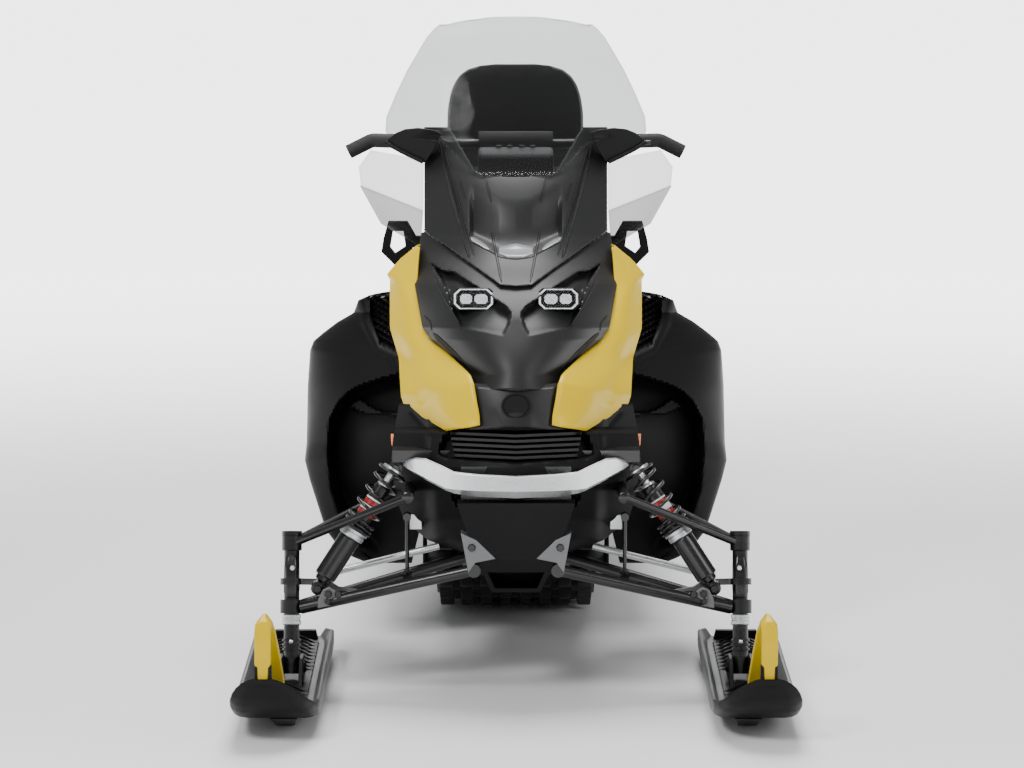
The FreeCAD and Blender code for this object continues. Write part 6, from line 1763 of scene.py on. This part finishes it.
@dataclass(frozen=True)
class FloorFinish:
    """Pale studio floor with painted light: it glows more the farther it lies from the machine, which leaves
    painted shade on the ground round the machine.
    """

    name: str
    colour: tuple[float, float, float] = (0.7, 0.7, 0.7)
    glow: float = 3.6
    near: float = 1.3
    far: float = 6.5

    def material(self) -> bpy.types.Material:
        """Material of the floor."""
        made = bpy.data.materials.new(self.name)
        made.use_nodes = True
        tree = made.node_tree
        shader = tree.nodes["Principled BSDF"]
        shader.inputs["Base Color"].default_value = (*self.colour, 1)
        shader.inputs["Roughness"].default_value = 0.6
        shader.inputs["Emission Color"].default_value = (1, 1, 1, 1)
        place = tree.nodes.new("ShaderNodeTexCoord")
        away = tree.nodes.new("ShaderNodeVectorMath")
        away.operation = "LENGTH"
        rise = tree.nodes.new("ShaderNodeMapRange")
        rise.interpolation_type = "SMOOTHSTEP"
        rise.inputs["From Min"].default_value = self.near
        rise.inputs["From Max"].default_value = self.far
        rise.inputs["To Max"].default_value = self.glow
        wire(tree, place.outputs["Object"], away.inputs[0])
        wire(tree, away.outputs["Value"], rise.inputs["Value"])
        # Painted light: emission strength rises with distance from the machine, which leaves painted shade
        # near it.
        wire(tree, rise.outputs["Result"], shader.inputs["Emission Strength"])
        return made


def build_setting() -> None:
    """Camera, soft studio light and the pale floor."""
    scene = bpy.context.scene
    lens = bpy.data.cameras.new("view")
    lens.sensor_width = SIGHT.sensor
    lens.lens = SIGHT.focal / SIGHT.wide * SIGHT.sensor
    lens.clip_end = 200
    camera = bpy.data.objects.new("view", lens)
    aside = (SIGHT.middle_x - SIGHT.centre_x) * (SIGHT.away + 100) / SIGHT.focal
    camera.location = (aside * MM, (SIGHT.pin_y - SIGHT.away) * MM, SIGHT.height * MM)
    camera.rotation_euler = (math.radians(90 - SIGHT.tilt_deg), 0, 0)
    scene.collection.objects.link(camera)
    scene.camera = camera
    floor = new_piece("floor", [(-60000, -60000, 0), (60000, -60000, 0), (60000, 60000, 0),
                                (-60000, 60000, 0)], [(0, 1, 2, 3)], FloorFinish("floor_pale"))
    world = bpy.data.worlds.new("studio")
    scene.world = world
    world.use_nodes = True
    world.node_tree.nodes["Background"].inputs["Color"].default_value = (0.97, 0.98, 1, 1)
    world.node_tree.nodes["Background"].inputs["Strength"].default_value = 0.45
    for name, place, size, power in (
            ("key", (-3, -5, 5), 1.6, 330), ("fill", (4.5, -4, 3.5), 2.4, 110),
            ("top", (0, 0.3, 4.6), 2.6, 300), ("rim", (0, 4, 3), 3, 120)):
        light = bpy.data.lights.new(name, "AREA")
        light.size = size
        light.energy = power
        lamp = bpy.data.objects.new(name, light)
        lamp.location = place
        lamp.rotation_euler = (Vector((0, -0.3, 0.6)) - Vector(place)).to_track_quat("-Z", "Y").to_euler()
        scene.collection.objects.link(lamp)


NODE_FINISHES: dict[str, Finish | ClearFinish] = {
    "track": TRACK_RUBBER, "tunnel": BODY_BLACK, "bulkhead": STEEL, "engine_block": CAST,
    "belly_pan": BODY_BLACK, "front_bumper": SILVER, "nose_grille": BODY_BLACK, "centre_panel": HOOD_BLACK,
    "hood": HOOD_BLACK, "windshield": CLEAR, "gauge_pod": BODY_BLACK, "fuel_tank": BODY_BLACK,
    "rider_seat": SEAT, "passenger_seat": SEAT, "backrest_pad": SEAT, "rear_rack": STEEL,
    "rear_bumper": STEEL, "snow_flap": RUBBER, "tail_lamp": RED_LENS, "slide_rails": BARE,
    "track_wheels": RUBBER, "drive_axle": STEEL, "skid_arms": STEEL, "steering_post": STEEL,
    "handlebar": STEEL, "bar_pad": RUBBER, "brake_lever": STEEL, "throttle_block": BODY_BLACK,
    "dash_wing": BODY_BLACK, "deflector": CLEAR, "handhold": BODY_BLACK, "running_board": STEEL,
    "headlamp": DEEP_BLACK, "side_panel": YELLOW, "side_body": BODY_BLACK, "ski": SKI_GREY,
    "ski_loop": YELLOW, "spindle": STEEL, "tie_rod": SILVER, "lower_arm": STEEL, "upper_arm": STEEL,
    "shock": BARE, "spring": STEEL, "grip": RUBBER,
}


CUSHIONS = (
    Cushion("rider_pad", "rider_seat", (
        (118, 570, 716, -112, 0), (140, 570, 724, -70, 4), (152, 570, 728, 40, 8),
        (156, 570, 722, 240, 10), (154, 570, 730, 420, 8), (150, 570, 752, 520, 4),
        (140, 570, 766, 552, 0))),
    Cushion("pillion_pad", "passenger_seat", (
        (140, 570, 770, 566, 0), (152, 570, 806, 600, 4), (160, 570, 812, 760, 8),
        (160, 570, 808, 940, 8), (152, 570, 818, 1040, 4), (130, 570, 812, 1072, 0))),
    Cushion("back_pad", "backrest_pad", (
        (150, 1116, 1160, 956, 0), (182, 1106, 1164, 974, 0), (191, 1106, 1164, 1050, 5),
        (190, 1106, 1164, 1110, 5), (184, 1107, 1164, 1150, 5), (174, 1109, 1163, 1182, 4),
        (158, 1111, 1162, 1207, 4), (134, 1113, 1161, 1226, 3), (100, 1116, 1159, 1237, 2),
        (60, 1120, 1156, 1243, 0)),
        upright=True, cap=0.007),
)


def dress_nodes(nodes: dict[str, bpy.types.Object]) -> None:
    """Give every node its finish."""
    for name, node in nodes.items():
        kind = name.removesuffix("_left").removesuffix("_right")
        material = NODE_FINISHES[kind].material()
        if node.data.materials:
            for index in range(len(node.data.materials)):
                node.data.materials[index] = material
        else:
            node.data.materials.append(material)


def main() -> None:
    """Build the setting and every piece."""
    logging.basicConfig(level=logging.INFO, format="%(message)s")
    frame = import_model()
    for maker in (moulded_grain, scuffs, brush_lines):
        maker()
    build_setting()
    dress_nodes(frame["nodes"])
    Hood().build()
    Screen().build()
    for side in Side:
        FlankPanel(side).build()
        DashWing(side).build()
        Headlamp(side).build()
        SideBody(side).build()
        Shock(side).build()
        Ski(side).build()
        FrontLinks(side).build()
    Nose().build()
    Chin().build()
    Track().build()
    Fastenings().build()
    Dash().build()
    Tank().build()
    for cushion in CUSHIONS:
        cushion.build()


if __name__ == "__main__":
    main()
